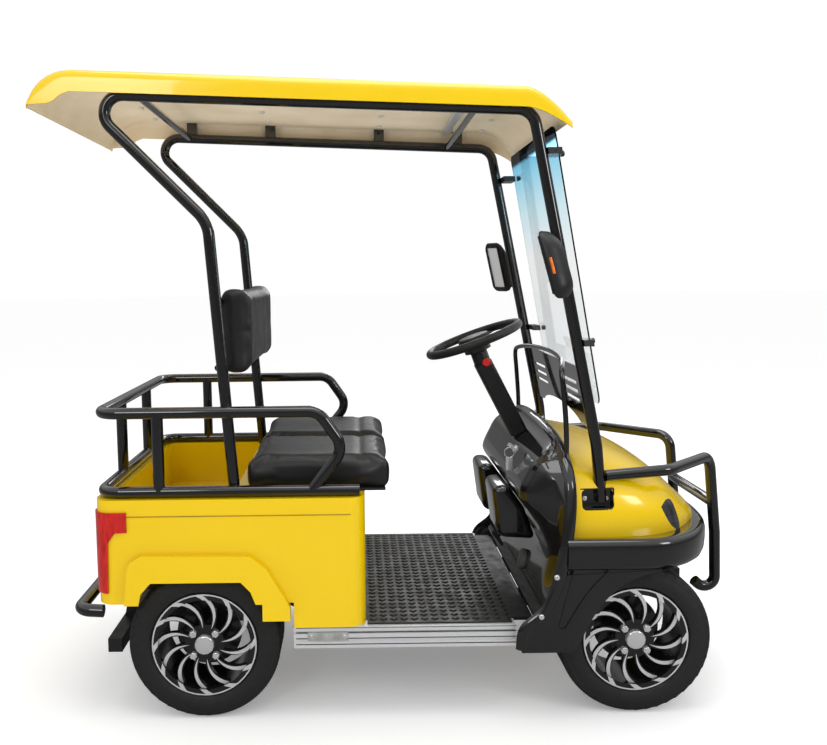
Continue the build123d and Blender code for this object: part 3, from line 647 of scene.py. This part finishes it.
def upwards(sheet):
    """Turns an open sheet's faces all one way, and up."""
    only(sheet)
    bpy.ops.object.mode_set(mode="EDIT")
    bpy.ops.mesh.select_all(action="SELECT")
    bpy.ops.mesh.normals_make_consistent(inside=False)
    bpy.ops.object.mode_set(mode="OBJECT")
    if sum(face.normal.z for face in sheet.data.polygons) < 0:
        bpy.ops.object.mode_set(mode="EDIT")
        bpy.ops.mesh.flip_normals()
        bpy.ops.object.mode_set(mode="OBJECT")
    return sheet


roof_shell = upwards(sheet_of("roof_shell", len(roof_stations), roof_rows, roof_corner))
roof_shell.data.materials.append(body_yellow)
roof_shell.data.materials.append(roof_cream)
roof_wall = roof_shell.modifiers.new("wall", "SOLIDIFY")
roof_wall.thickness = 0.006
roof_wall.offset = -1
roof_wall.material_offset = 1
finish_mesh(roof_shell, smooth=40)
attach(roof_shell, "chassis")
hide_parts("roof")

# A silver strap across the roof, and rows of bolts through the roof.
strap_station = 853
roof_strap = block(
    "roof_strap", (0.03, 0.88, 0.006), at(strap_station, 0, roof_top(strap_station) - 12), tilt=atan2(62, 1361)
)
finish_mesh(roof_strap, bevel=0.001)
finished(roof_strap, "chassis", "aluminium", aluminium)
pale_zinc = paint("pale_zinc", (0.72, 0.71, 0.66), 0.35, metallic=0.4)
speckle(pale_zinc, "Roughness", 80, 0.25, 0.5)
roof_bolt = rod("roof_bolt", 0.018, 0.008, sides=20, dome=0.003)
roof_bolts = copied("roof_bolts", roof_bolt, [
    Matrix.Translation(at(station, y, roof_top(station) - 6)) @ Matrix.Rotation(pi, 4, "X")
    for station in (-275, 160, 590, 990) for y in (-330, -110, 110, 330)
])
finish_mesh(roof_bolts)
finished(roof_bolts, "chassis", "steel", pale_zinc)

# ---- Nose cover ----
# One arched yellow moulding over the front wheels' well, falling to the belt at its nose, with
# black-lined pockets for the feet of the front pillars and dark leaf-shaped headlamps.

nose_sections = (
    (1150, 470, 852), (1205, 469.5, 844), (1260, 468, 834), (1315, 463, 821), (1370, 455, 803), (1420, 441, 780),
    (1461, 424, 757), (1500, 398, 727), (1535, 366, 694), (1570, 324, 661), (1600, 278, 634), (1622, 232, 609),
    (1637, 196, 590), (1645, 150, 574), (1648, 100, 567),
)
nose_arch = (
    (1, 0), (0.998, 0.15), (0.99, 0.3), (0.972, 0.42), (0.945, 0.54), (0.905, 0.64), (0.85, 0.735), (0.775, 0.82),
    (0.68, 0.885), (0.56, 0.935), (0.42, 0.968), (0.22, 0.992), (0, 1),
)
belt_top = 563


def nose_corner(column, row):
    station, half_width, crown = nose_sections[column]
    side = -1 if row < len(nose_arch) else 1
    across, up = nose_arch[row if side < 0 else 2 * len(nose_arch) - 2 - row]
    return at(station, side * across * half_width, belt_top + up * (crown - belt_top))


def carve(piece, cutter, operation="DIFFERENCE"):
    """Cuts a piece with another, or keeps only what they share."""
    cut = piece.modifiers.new("cut", "BOOLEAN")
    cut.operation = operation
    cut.solver = "EXACT"
    cut.object = cutter
    only(piece)
    bpy.ops.object.modifier_apply(modifier="cut")


nose_cover = upwards(sheet_of("nose_cover", len(nose_sections), 2 * len(nose_arch) - 1, nose_corner))
nose_round = nose_cover.modifiers.new("round", "SUBSURF")
nose_round.levels = nose_round.render_levels = 2
nose_wall = nose_cover.modifiers.new("wall", "SOLIDIFY")
nose_wall.thickness = 0.005
nose_wall.offset = -1
nose_wall.use_even_offset = True
finish_mesh(nose_cover)
# The headlamps are cut out of the moulding on a leaf-shaped line and filled with dark lenses.
headlamp_outline = smooth_line([
    (1449, 0, 652), (1472, 0, 668), (1496, 0, 662), (1512, 0, 622), (1524, 0, 574), (1508, 0, 572),
    (1484, 0, 592), (1464, 0, 622), (1449, 0, 652),
], 3)[:-1]
lamp_lenses = {}
for side_name, side in both_sides:
    lamp_cutter = plate_of(
        "lamp_cutter", [(point.x, side * 250, point.z) for point in headlamp_outline], 260, side
    )
    lens_cover = nose_cover.copy()
    lens_cover.data = nose_cover.data.copy()
    scene.collection.objects.link(lens_cover)
    lens_cover.name = f"headlamp_{side_name}"
    carve(lens_cover, lamp_cutter, "INTERSECT")
    carve(nose_cover, lamp_cutter)
    bpy.data.objects.remove(lamp_cutter)
    lamp_lenses[side_name] = lens_cover
# Pockets for the pillars' feet, cut through the sides.
pocket_station, pocket_height = 1238, 687
for side in (-1, 1):
    pocket_cutter = block("pocket_cutter", (0.102, 0.12, 0.062), at(pocket_station, side * 440, pocket_height))
    pocket_round = pocket_cutter.modifiers.new("round", "BEVEL")
    pocket_round.width = 0.015
    pocket_round.segments = 4
    finish_mesh(pocket_cutter)
    bpy.ops.mesh.primitive_cylinder_add(
        vertices=32, radius=0.0195, depth=0.2, location=at(1247, side * 418.7, 776)
    )
    pillar_cutter = bpy.context.object
    pillar_cutter.rotation_euler = (0, -atan2(16, 174), 0)
    for cutter in (pocket_cutter, pillar_cutter):
        carve(nose_cover, cutter)
        bpy.data.objects.remove(cutter)
finish_mesh(nose_cover)
finished(nose_cover, "chassis", "yellow_body", body_yellow)
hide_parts("front_cowl")

lamp_dark = paint("lamp_dark", (0.012, 0.012, 0.014), 0.06, coat=1.0)
speckle(lamp_dark, "Base Color", 70, (0.008, 0.008, 0.01), (0.05, 0.05, 0.055), stretch=(1, 1, 0.3))
gloss_black = paint("gloss_black", (0.005, 0.005, 0.0055), 0.12, coat=0.9)
speckle(gloss_black, "Roughness", 12, 0.08, 0.2)
satin_black = paint("satin_black", (0.010, 0.010, 0.011), 0.4)
speckle(satin_black, "Roughness", 22, 0.32, 0.5)
grain(satin_black, 420, 0.0002)

for side_name, side in both_sides:
    finish_mesh(lamp_lenses[side_name])
    finished(lamp_lenses[side_name], "chassis", "black_gloss_plastic", lamp_dark)
    # Pocket liner, and the two bolts of the foot's plate.
    liner = block(
        f"foot_pocket_{side_name}", (0.108, 0.05, 0.068), at(pocket_station, side * 417, pocket_height)
    )
    edit_faces(liner, lambda face: face.normal.y * side > 0.9)
    bpy.ops.mesh.inset(thickness=0.004)
    bpy.ops.mesh.extrude_region_move(TRANSFORM_OT_translate={"value": (0, side * -0.03, 0)})
    bpy.ops.object.mode_set(mode="OBJECT")
    outwards(liner)
    finish_mesh(liner, bevel=0.002)
    finished(liner, "chassis", "black_gloss_plastic", gloss_black)
    foot_bolt = rod("foot_bolt", 0.017, 0.008, sides=20, dome=0.0035)
    foot_bolts = copied(f"foot_bolts_{side_name}", foot_bolt, [
        Matrix.Translation(at(station, side * 412, 683)) @ Matrix.Rotation(side * -pi / 2, 4, "X")
        for station in (1205, 1274)
    ])
    finish_mesh(foot_bolts)
    finished(foot_bolts, "chassis", "steel", chrome)

# ---- Belt, side panels and door trims ----
# Gloss black mouldings: a deep lip round the nose, panels from the doorway to the front wheel
# arch with a shallow recess, and a raised trim that runs up beside the dash, all screwed on.

lip_plan = smooth_line([
    (1128, -534, 0), (1250, -534, 0), (1395, -532, 0), (1480, -506, 0), (1560, -440, 0), (1620, -335, 0),
    (1656, -200, 0), (1667, 0, 0), (1656, 200, 0), (1620, 335, 0), (1560, 440, 0), (1480, 506, 0), (1395, 532, 0),
    (1250, 534, 0), (1128, 534, 0),
], 5)
lip_section = (
    (-92, 568), (-66, 571), (-40, 577), (-22, 580), (-10, 578), (-3, 571), (0, 560), (0, 530), (-2, 508), (-7, 494),
    (-14, 488), (-22, 489), (-24, 498),
)


def lip_corner(column, row):
    here = lip_plan[column]
    before, after = lip_plan[max(column - 1, 0)], lip_plan[min(column + 1, len(lip_plan) - 1)]
    along = (after - before).normalized()
    outward, height = lip_section[row]
    return at(here.x + along.y * outward, here.y - along.x * outward, height)


nose_lip = outwards(sheet_of("nose_lip", len(lip_plan), len(lip_section), lip_corner))
lip_wall = nose_lip.modifiers.new("wall", "SOLIDIFY")
lip_wall.thickness = 0.004
lip_wall.offset = 0
finish_mesh(nose_lip, smooth=50)
finished(nose_lip, "chassis", "black_gloss_plastic", gloss_black)

door_edge = smooth_line([
    (1104, 0, 560), (1090, 0, 490), (1068, 0, 405), (1046, 0, 352), (988, 0, 300), (984, 0, 250), (990, 0, 226),
], 4)
arch_edge = smooth_line([
    (1150, 0, 226), (1172, 0, 262), (1205, 0, 330), (1248, 0, 392), (1302, 0, 440), (1364, 0, 468),
    (1440, 0, 486), (1520, 0, 492),
], 4)
panel_line = [*door_edge, *arch_edge, Vector((1520, 0, 500)), Vector((1470, 0, 556)), Vector((1300, 0, 560))]
panel_y, panel_bend = 519, 1440
recess_line = [
    (1106, 322), (1130, 420), (1149, 488), (1160, 498), (1200, 499), (1240, 498), (1254, 489), (1240, 470),
    (1205, 434), (1165, 378), (1128, 314), (1114, 303), (1103, 307), (1106, 322),
]
trim_line = [
    (990, 524, 236), (1000, 524, 300), (1058, 524, 352), (1094, 524, 420), (1116, 525, 500), (1130, 518, 584),
    (1142, 500, 680), (1143, 470, 765), (1138, 400, 830), (1132, 300, 868), (1128, 160, 884), (1126, 0, 888),
]
trim_half_width, trim_depth = 0.019, 0.009
trim_rows = ((-1, -0.5), (-0.6, 0.4), (0, 0.75), (0.6, 0.4), (1, -0.5), (0, -0.9), (-1, -0.5))


def trim_of(name, path, side):
    """The raised trim along a path on one side of the cart, wide fore and aft, domed outwards."""
    def corner(column, row):
        here = path[column]
        before, after = path[max(column - 1, 0)], path[min(column + 1, len(path) - 1)]
        along = (after - before).normalized()
        across = along.cross(Vector((0, side, 0.0001))).normalized()
        if abs(along.y) > 0.35:
            across = Vector((1, 0, 0))
        across = (across - across.dot(along) * along).normalized()
        if across.x < 0:
            across = -across
        outward = along.cross(across).normalized()
        if outward.y * side < 0 or (abs(along.y) > 0.6 and outward.z < 0):
            outward = -outward
        wide, proud = trim_rows[row]
        return here + across * wide * trim_half_width + outward * proud * trim_depth
    return outwards(sheet_of(name, len(path), len(trim_rows), corner))


for side_name, side in both_sides:
    side_panel = plate_of(
        f"side_panel_{side_name}",
        [(point.x, side * (panel_y - max(0, point.x - panel_bend) * 0.8), point.z) for point in panel_line],
        6, side,
    )
    finish_mesh(side_panel, bevel=0.002)
    # The recess pressed into the panel shows as a raised border.
    border_path = smooth_line([at(station, side * 525.5, height) for station, height in recess_line], 5)
    border = ribbon_of(f"panel_border_{side_name}", border_path, 0.007, 0.003, upright=(0, 1, 0))
    outwards(border)
    finish_mesh(border, bevel=0.0008)
    # The door trim, from the sill up beside the dash and over its crest.
    trim_path = smooth_line([at(station, side * y, height) for station, y, height in trim_line], 6)
    door_trim = trim_of(f"door_trim_{side_name}", trim_path, side)
    finish_mesh(door_trim, smooth=60)
    trim_bolt = rod("trim_bolt", 0.017, 0.007, sides=20, dome=0.0035)
    trim_bolts = copied(f"trim_bolts_{side_name}", trim_bolt, [
        Matrix.Translation(at(station, side * 529, height)) @ Matrix.Rotation(side * -pi / 2, 4, "X")
        for station, height in ((1048, 344), (1094, 468))
    ])
    finish_mesh(trim_bolts)
    finished(trim_bolts, "chassis", "steel", chrome)
    for piece in (side_panel, border, door_trim):
        finished(piece, "chassis", "black_gloss_plastic", gloss_black)
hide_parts("front_belt")

# Crest bolts in a row over the dash.
crest_bolt = rod("crest_bolt", 0.013, 0.006, sides=20, dome=0.003)
crest_bolts = copied("crest_bolts", crest_bolt, [
    Matrix.Translation(at(1146, side * y, height))
    for side in (-1, 1) for y, height in ((70, 884), (200, 874), (330, 852))
])
finish_mesh(crest_bolts)
finished(crest_bolts, "chassis", "steel", chrome)

# ---- Dash ----
# One gloss black moulding that fills the arch from side to side, folds back under itself and runs
# down to the floor as the kick panel, with two rounded foot-room pods and a key in its lock.

arch_heights = ((0, 888), (160, 884), (300, 868), (400, 830), (470, 765), (500, 680), (518, 584))


def under_arch(across):
    """The height of the arch over the dash at a distance out from the middle."""
    for (near, near_height), (far, far_height) in zip(arch_heights, arch_heights[1:]):
        if across <= far:
            return near_height + (far_height - near_height) * (across - near) / (far - near)
    return far_height


# The dash's section, and how it swings forward at its sides to meet the door trims.
dash_fold = smooth_line([
    (1140, 0, 884), (1120, 0, 850), (1058, 0, 806), (1030, 0, 760), (1004, 0, 700), (1014, 0, 664),
    (1056, 0, 612), (1084, 0, 552), (1096, 0, 500), (1068, 0, 400), (1043, 0, 307),
], 4)
dash_columns, dash_half_width = 49, 514
cheek_start, cheek_width, cheek_station = 400, 110, 1128


def dash_corner(column, row):
    fold = dash_fold[row]
    half = (dash_columns - 1) / 2
    across = dash_half_width * (column - half) / half
    ceiling = under_arch(abs(across)) - 5
    share = min(max((abs(across) - cheek_start) / cheek_width, 0), 1)
    share *= share * (3 - 2 * share)
    if fold.z <= 500:
        share *= max(0, (fold.z - 400) / 100)
    return at(fold.x + (cheek_station - fold.x) * share, across, min(fold.z, ceiling))


dash_shell = sheet_of("dash_shell", dash_columns, len(dash_fold), dash_corner)
outwards(dash_shell)
dash_wall = dash_shell.modifiers.new("wall", "SOLIDIFY")
dash_wall.thickness = 0.003
dash_wall.offset = 0
finish_mesh(dash_shell, smooth=50)
finished(dash_shell, "chassis", "black_gloss_plastic", gloss_black)
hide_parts("dash")
pod_section = ((937, 684), (990, 690), (1046, 612), (1087, 502), (960, 511))
for side_name, side in both_sides:
    pod = plate_of(
        f"foot_pod_{side_name}", [(station, side * 72, height) for station, height in pod_section], 196, side
    )
    finish_mesh(pod, bevel=0.024, segments=5)
    finished(pod, "chassis", "black_gloss_plastic", gloss_black)
    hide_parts(f"dash_pod_{side_name}")
dress(satin_black, "steering_column", "brake_pedal")
key_y = -210
key_lock = rod("key_lock", 0.026, 0.012, sides=24, dome=0.002)
key_lock.data.transform(Matrix.Translation(at(1030, key_y, 800)) @ Matrix.Rotation(radians(-60), 4, "Y"))
key_blade = block("key_blade", (0.03, 0.003, 0.012), at(1012, key_y, 812), tilt=radians(30))
key = joined("key", [key_lock, key_blade])
finish_mesh(key, bevel=0.0006)
finished(key, "chassis", "steel", chrome)
bpy.ops.mesh.primitive_torus_add(
    major_radius=0.017, minor_radius=0.0016, major_segments=28, minor_segments=8,
    location=at(1004, key_y, 790), rotation=(pi / 2, 0, 0),
)
fob_ring = bpy.context.object
fob = joined("key_fob", [fob_ring, block("fob", (0.022, 0.008, 0.045), at(1003, key_y, 752))])
finish_mesh(fob, bevel=0.003, segments=3)
finished(fob, "chassis", "steel", chrome)
kick_grey = paint("kick_grey", (0.10, 0.10, 0.105), 0.5)
speckle(kick_grey, "Roughness", 30, 0.4, 0.6)
grain(kick_grey, 300, 0.0002)
kick_cover = rod("kick_cover", 0.07, 0.014, sides=36, dome=0.004)
kick_cover.data.transform(Matrix.Translation(at(1066, -150, 400)) @ Matrix.Rotation(radians(-75), 4, "Y"))
finish_mesh(kick_cover)
finished(kick_cover, "chassis", "matte_black", kick_grey)

# ---- Screens ----
# A clear polycarbonate windscreen tinted blue towards a dark top band, and a smoked slotted screen
# below it in a black hoop; the windscreen is held by clamps with dome nuts on the front pillars.

clear_screen = paint("clear_screen", (1, 1, 1), 0.02)
screen_tree = clear_screen.node_tree
screen_place = screen_tree.nodes.new("ShaderNodeTexCoord")
screen_height = screen_tree.nodes.new("ShaderNodeSeparateXYZ")
screen_tree.links.new(screen_place.outputs["Object"], screen_height.inputs["Vector"])
screen_foot, screen_head = 0.98, 1.85
screen_share = worked(
    screen_tree, "MULTIPLY_ADD", screen_height.outputs["Z"], 1 / (screen_head - screen_foot),
    -screen_foot / (screen_head - screen_foot),
)
screen_tint = ramp_of(
    screen_tree, screen_share, (0.0, (0.95, 0.98, 0.99)), (1.0, (0.004, 0.01, 0.015)),
    (0.55, (0.98, 0.995, 1.0)), (0.74, (0.68, 0.92, 1.0)), (0.9, (0.3, 0.72, 0.94)),
    (0.94, (0.22, 0.6, 0.85)), (0.955, (0.004, 0.01, 0.015)),
)
screen_shader = screen_tree.nodes["Principled BSDF"]
screen_tree.links.new(screen_tint, screen_shader.inputs["Base Color"])
screen_shader.inputs["Transmission Weight"].default_value = 1.0
screen_shader.inputs["IOR"].default_value = 1.2
dress(clear_screen, "windscreen")
smoked = paint("smoked_screen", (0.01, 0.01, 0.011), 0.08, coat=0.8)
speckle(smoked, "Roughness", 10, 0.05, 0.12)
dress(smoked, "lower_screen")
clamp_grey = paint("clamp_grey", (0.03, 0.03, 0.032), 0.3, coat=0.4)
speckle(clamp_grey, "Roughness", 30, 0.22, 0.4)
dress(clamp_grey, "screen_clamps")
hoop_half = [
    (1150, 402, 800), (1148, 405, 900), (1140, 404, 1010), (1134, 396, 1075), (1140, 370, 1098), (1165, 250, 1112),
]
hoop_path = smooth_line([
    *[at(station, -y, height) for station, y, height in hoop_half],
    at(1185, 0, 1116),
    *[at(station, y, height) for station, y, height in reversed(hoop_half)],
], 6)
round_section = [(cos(2 * pi * step / 12), sin(2 * pi * step / 12)) for step in range(13)]


def tube_of(name, path, radius):
    """A round bar along a flowing path."""
    def corner(column, row):
        before, after = path[max(column - 1, 0)], path[min(column + 1, len(path) - 1)]
        along = (after - before).normalized()
        level = along.cross(Vector((1, 0, 0))).normalized()
        upright = along.cross(level)
        across, up = round_section[row]
        return path[column] + level * across * radius + upright * up * radius
    bar = sheet_of(name, len(path), len(round_section), corner)
    outwards(bar)
    return finish_mesh(bar, smooth=60)


screen_hoop = tube_of("screen_hoop", hoop_path, 0.0085)
finished(screen_hoop, "chassis", "black_gloss_tube", gloss_tube)
clamp_nut = rod("clamp_nut", 0.02, 0.014, sides=24, dome=0.006)
clamp_nuts = copied("clamp_nuts", clamp_nut, [
    Matrix.Translation(at(station + 6, y, height)) @ Matrix.Rotation(radians(80), 4, "Y")
    for station, height in ((1126, 1762), (1229, 1176)) for y in (-350, 350)
])
finish_mesh(clamp_nuts)
finished(clamp_nuts, "chassis", "matte_black", gloss_black)

# ---- Mirrors ----
# Black moulded housings on short arms from the front pillars, glass set in behind a rim, with an
# orange reflector strip on each outer side.

# Painted reflection: the glass is partly metallic, and the rest is a pale diffuse grey that paints in the bright room
# it would mirror.
mirror_glass_painted_reflection = paint("mirror_glass_painted_reflection", (0.82, 0.83, 0.85), 0.03, metallic=0.3)
speckle(mirror_glass_painted_reflection, "Roughness", 5, 0.02, 0.04)
reflector_orange = paint("reflector_orange", (0.85, 0.16, 0.01), 0.15, coat=0.6)
speckle(reflector_orange, "Base Color", 90, (0.75, 0.12, 0.005), (0.95, 0.22, 0.02))
for side_name, side in both_sides:
    facing = (
        Matrix.Translation(at(1092, side * 514, 1424))
        @ Matrix.Rotation(radians(side * 34), 4, "Z")
        @ Matrix.Rotation(radians(-16), 4, "Y")
    )
    housing = block(f"mirror_housing_{side_name}", (0.05, 0.128, 0.236))
    for corner in housing.data.vertices:
        if corner.co.x > 0:
            corner.co.y *= 0.5
            corner.co.z = corner.co.z * 0.6 - 0.016
    corner_round = housing.modifiers.new("corner_round", "BEVEL")
    corner_round.width = 0.03
    corner_round.segments = 5
    corner_round.use_clamp_overlap = True
    only(housing)
    bpy.ops.object.modifier_apply(modifier="corner_round")
    # The glass is set back a little inside a rim.
    back_face = min(housing.data.polygons, key=lambda face: (round(face.center.x, 4), -face.area)).index
    edit_faces(housing, lambda face: face.index == back_face)
    bpy.ops.mesh.extrude_region_move(TRANSFORM_OT_translate={"value": (-0.004, 0, 0)})
    bpy.ops.mesh.inset(thickness=0.005)
    bpy.ops.mesh.extrude_region_move(TRANSFORM_OT_translate={"value": (0.004, 0, 0)})
    bpy.ops.object.mode_set(mode="OBJECT")
    housing.data.materials.append(satin_black)
    housing.data.materials.append(mirror_glass_painted_reflection)
    for face in housing.data.polygons:
        face.material_index = 1 if face.select else 0
    housing.data.transform(facing)
    finish_mesh(housing)
    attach(housing, "chassis")
    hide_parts(f"mirror_{side_name}")
    strip = block(f"mirror_reflector_{side_name}", (0.009, 0.004, 0.05))
    strip.data.transform(
        facing @ Matrix.Translation((0.002, side * 0.0585, -0.01)) @ Matrix.Rotation(radians(side * 28), 4, "Z")
    )
    finish_mesh(strip, bevel=0.0015)
    finished(strip, "chassis", "lamp_red", reflector_orange)
    arm = tube_of(f"mirror_arm_{side_name}", smooth_line([
        at(1144, side * 432, 1338), at(1142, side * 452, 1340), at(1128, side * 478, 1346),
        at(1108, side * 500, 1366),
    ], 5), 0.007)
    finished(arm, "chassis", "matte_black", satin_black)

# ---- Seat and backrest ----
# Foam cushions in grained black vinyl, stuffed full: two seats side by side on one base, each
# creased near its front edge to leave a bolster there, and one upright pad on two bars.

voxel_size, settle_frames = 0.006, 20
vinyl = paint("vinyl", (0.0105, 0.0105, 0.0112), 0.38, coat=0.06)
speckle(vinyl, "Roughness", 14, 0.32, 0.46)
grain(vinyl, 620, 0.00035, detail=5)


def stuffed(name, low, high, corner_round, cap, pinch=()):
    """A cushion filled by pressure from a slightly smaller block; its seams are pulled in after."""
    cushion = block(name, high - low, (low + high) / 2)
    edge_round = cushion.modifiers.new("edge_round", "BEVEL")
    edge_round.width = corner_round
    edge_round.segments = 3
    remesh = cushion.modifiers.new("remesh", "REMESH")
    remesh.mode = "VOXEL"
    remesh.voxel_size = voxel_size
    for modifier in ("edge_round", "remesh"):
        bpy.ops.object.modifier_apply(modifier=modifier)
    rest = [corner.co.copy() for corner in cushion.data.vertices]
    cloth = cushion.modifiers.new("filling", "CLOTH")
    cloth.settings.use_pressure = True
    cloth.settings.uniform_pressure_force = 4
    cloth.settings.effector_weights.gravity = 0
    cloth.settings.quality = 5
    for frame_number in range(1, settle_frames + 1):
        scene.frame_set(frame_number)
    only(cushion)
    bpy.ops.object.modifier_apply(modifier="filling")
    scene.frame_set(1)
    for corner, start in zip(cushion.data.vertices, rest):
        moved = corner.co - start
        if moved.length > cap:
            corner.co = start + moved * (cap / moved.length)
    middle_height = (low.z + high.z) / 2
    for axis, place, width, depth in pinch:
        for corner in cushion.data.vertices:
            away = abs(corner.co[axis] - place)
            if away < width and corner.co.z > middle_height:
                corner.co.z -= depth * (cos(pi * away / width) + 1) / 2
    calm = cushion.modifiers.new("calm", "SMOOTH")
    calm.factor = 0.5
    calm.iterations = 14
    refine = cushion.modifiers.new("refine", "SUBSURF")
    refine.levels = refine.render_levels = 1
    finish_mesh(cushion, smooth=80)
    finished(cushion, "chassis", "seat_vinyl", vinyl)
    return cushion


for side_name, side in both_sides:
    inner, outer = sorted((side * 6, side * 408))
    seat = stuffed(
        f"seat_{side_name}", at(130, inner, 722), at(598, outer, 812), 0.02, 0.016,
        pinch=((0, at(498, 0, 0).x, 0.012, 0.007),),
    )
    if side < 0:
        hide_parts("seat_cushion")
backrest = stuffed("backrest", at(70, -366, 1080), at(142, 366, 1362), 0.018, 0.014)
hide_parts("backrest_cushion")
seat_base = block("seat_base", (0.44, 0.80, 0.008), at(358, 0, 717))
finish_mesh(seat_base, bevel=0.003)
finished(seat_base, "chassis", "seat_vinyl", satin_black)

# ---- Steering wheel ----
# A thick moulded rim on three spokes with a padded hub, over a slim column in a long cover; a
# red button stands on the neck.

dress(satin_black, "steering_wheel")
wheel_tilt = Matrix.Translation(at(912, 0, 1161)) @ Matrix.Rotation(radians(-20), 4, "Y")
hub_pad = rod("wheel_hub_pad", 0.116, 0.024, sides=40, dome=0.009)
hub_pad.data.transform(wheel_tilt @ Matrix.Translation((0, 0, -0.012)))
finish_mesh(hub_pad)
finished(hub_pad, "steering_wheel_body", "matte_black", satin_black)
button_red = paint("button_red", (0.7, 0.01, 0.008), 0.2, coat=0.5)
speckle(button_red, "Roughness", 30, 0.15, 0.3)
red_button = rod("red_button", 0.03, 0.018, sides=28, dome=0.006)
red_button.data.transform(wheel_tilt @ Matrix.Translation((0.01, -0.024, -0.09)) @ Matrix.Rotation(pi / 2, 4, "X"))
finish_mesh(red_button)
finished(red_button, "chassis", "lamp_red", button_red)

# ---- Brake pedal ----
# A light ribbed pad on a black arm.

pedal_metal = paint("pedal_metal", (0.45, 0.45, 0.44), 0.4, metallic=0.7)
speckle(pedal_metal, "Roughness", 60, 0.3, 0.55)
pad_rib = block("pad_rib", (0.0025, 0.07, 0.0045))
pedal_ribs = copied("pedal_ribs", pad_rib, [
    Matrix.Translation(at(985, -52, 455)) @ Matrix.Rotation(radians(-35), 4, "Y")
    @ Matrix.Translation((-0.0072, 0, -0.025 + 0.0083 * step)) for step in range(7)
])
finish_mesh(pedal_ribs, bevel=0.0008)
finished(pedal_ribs, "chassis", "aluminium", pedal_metal)
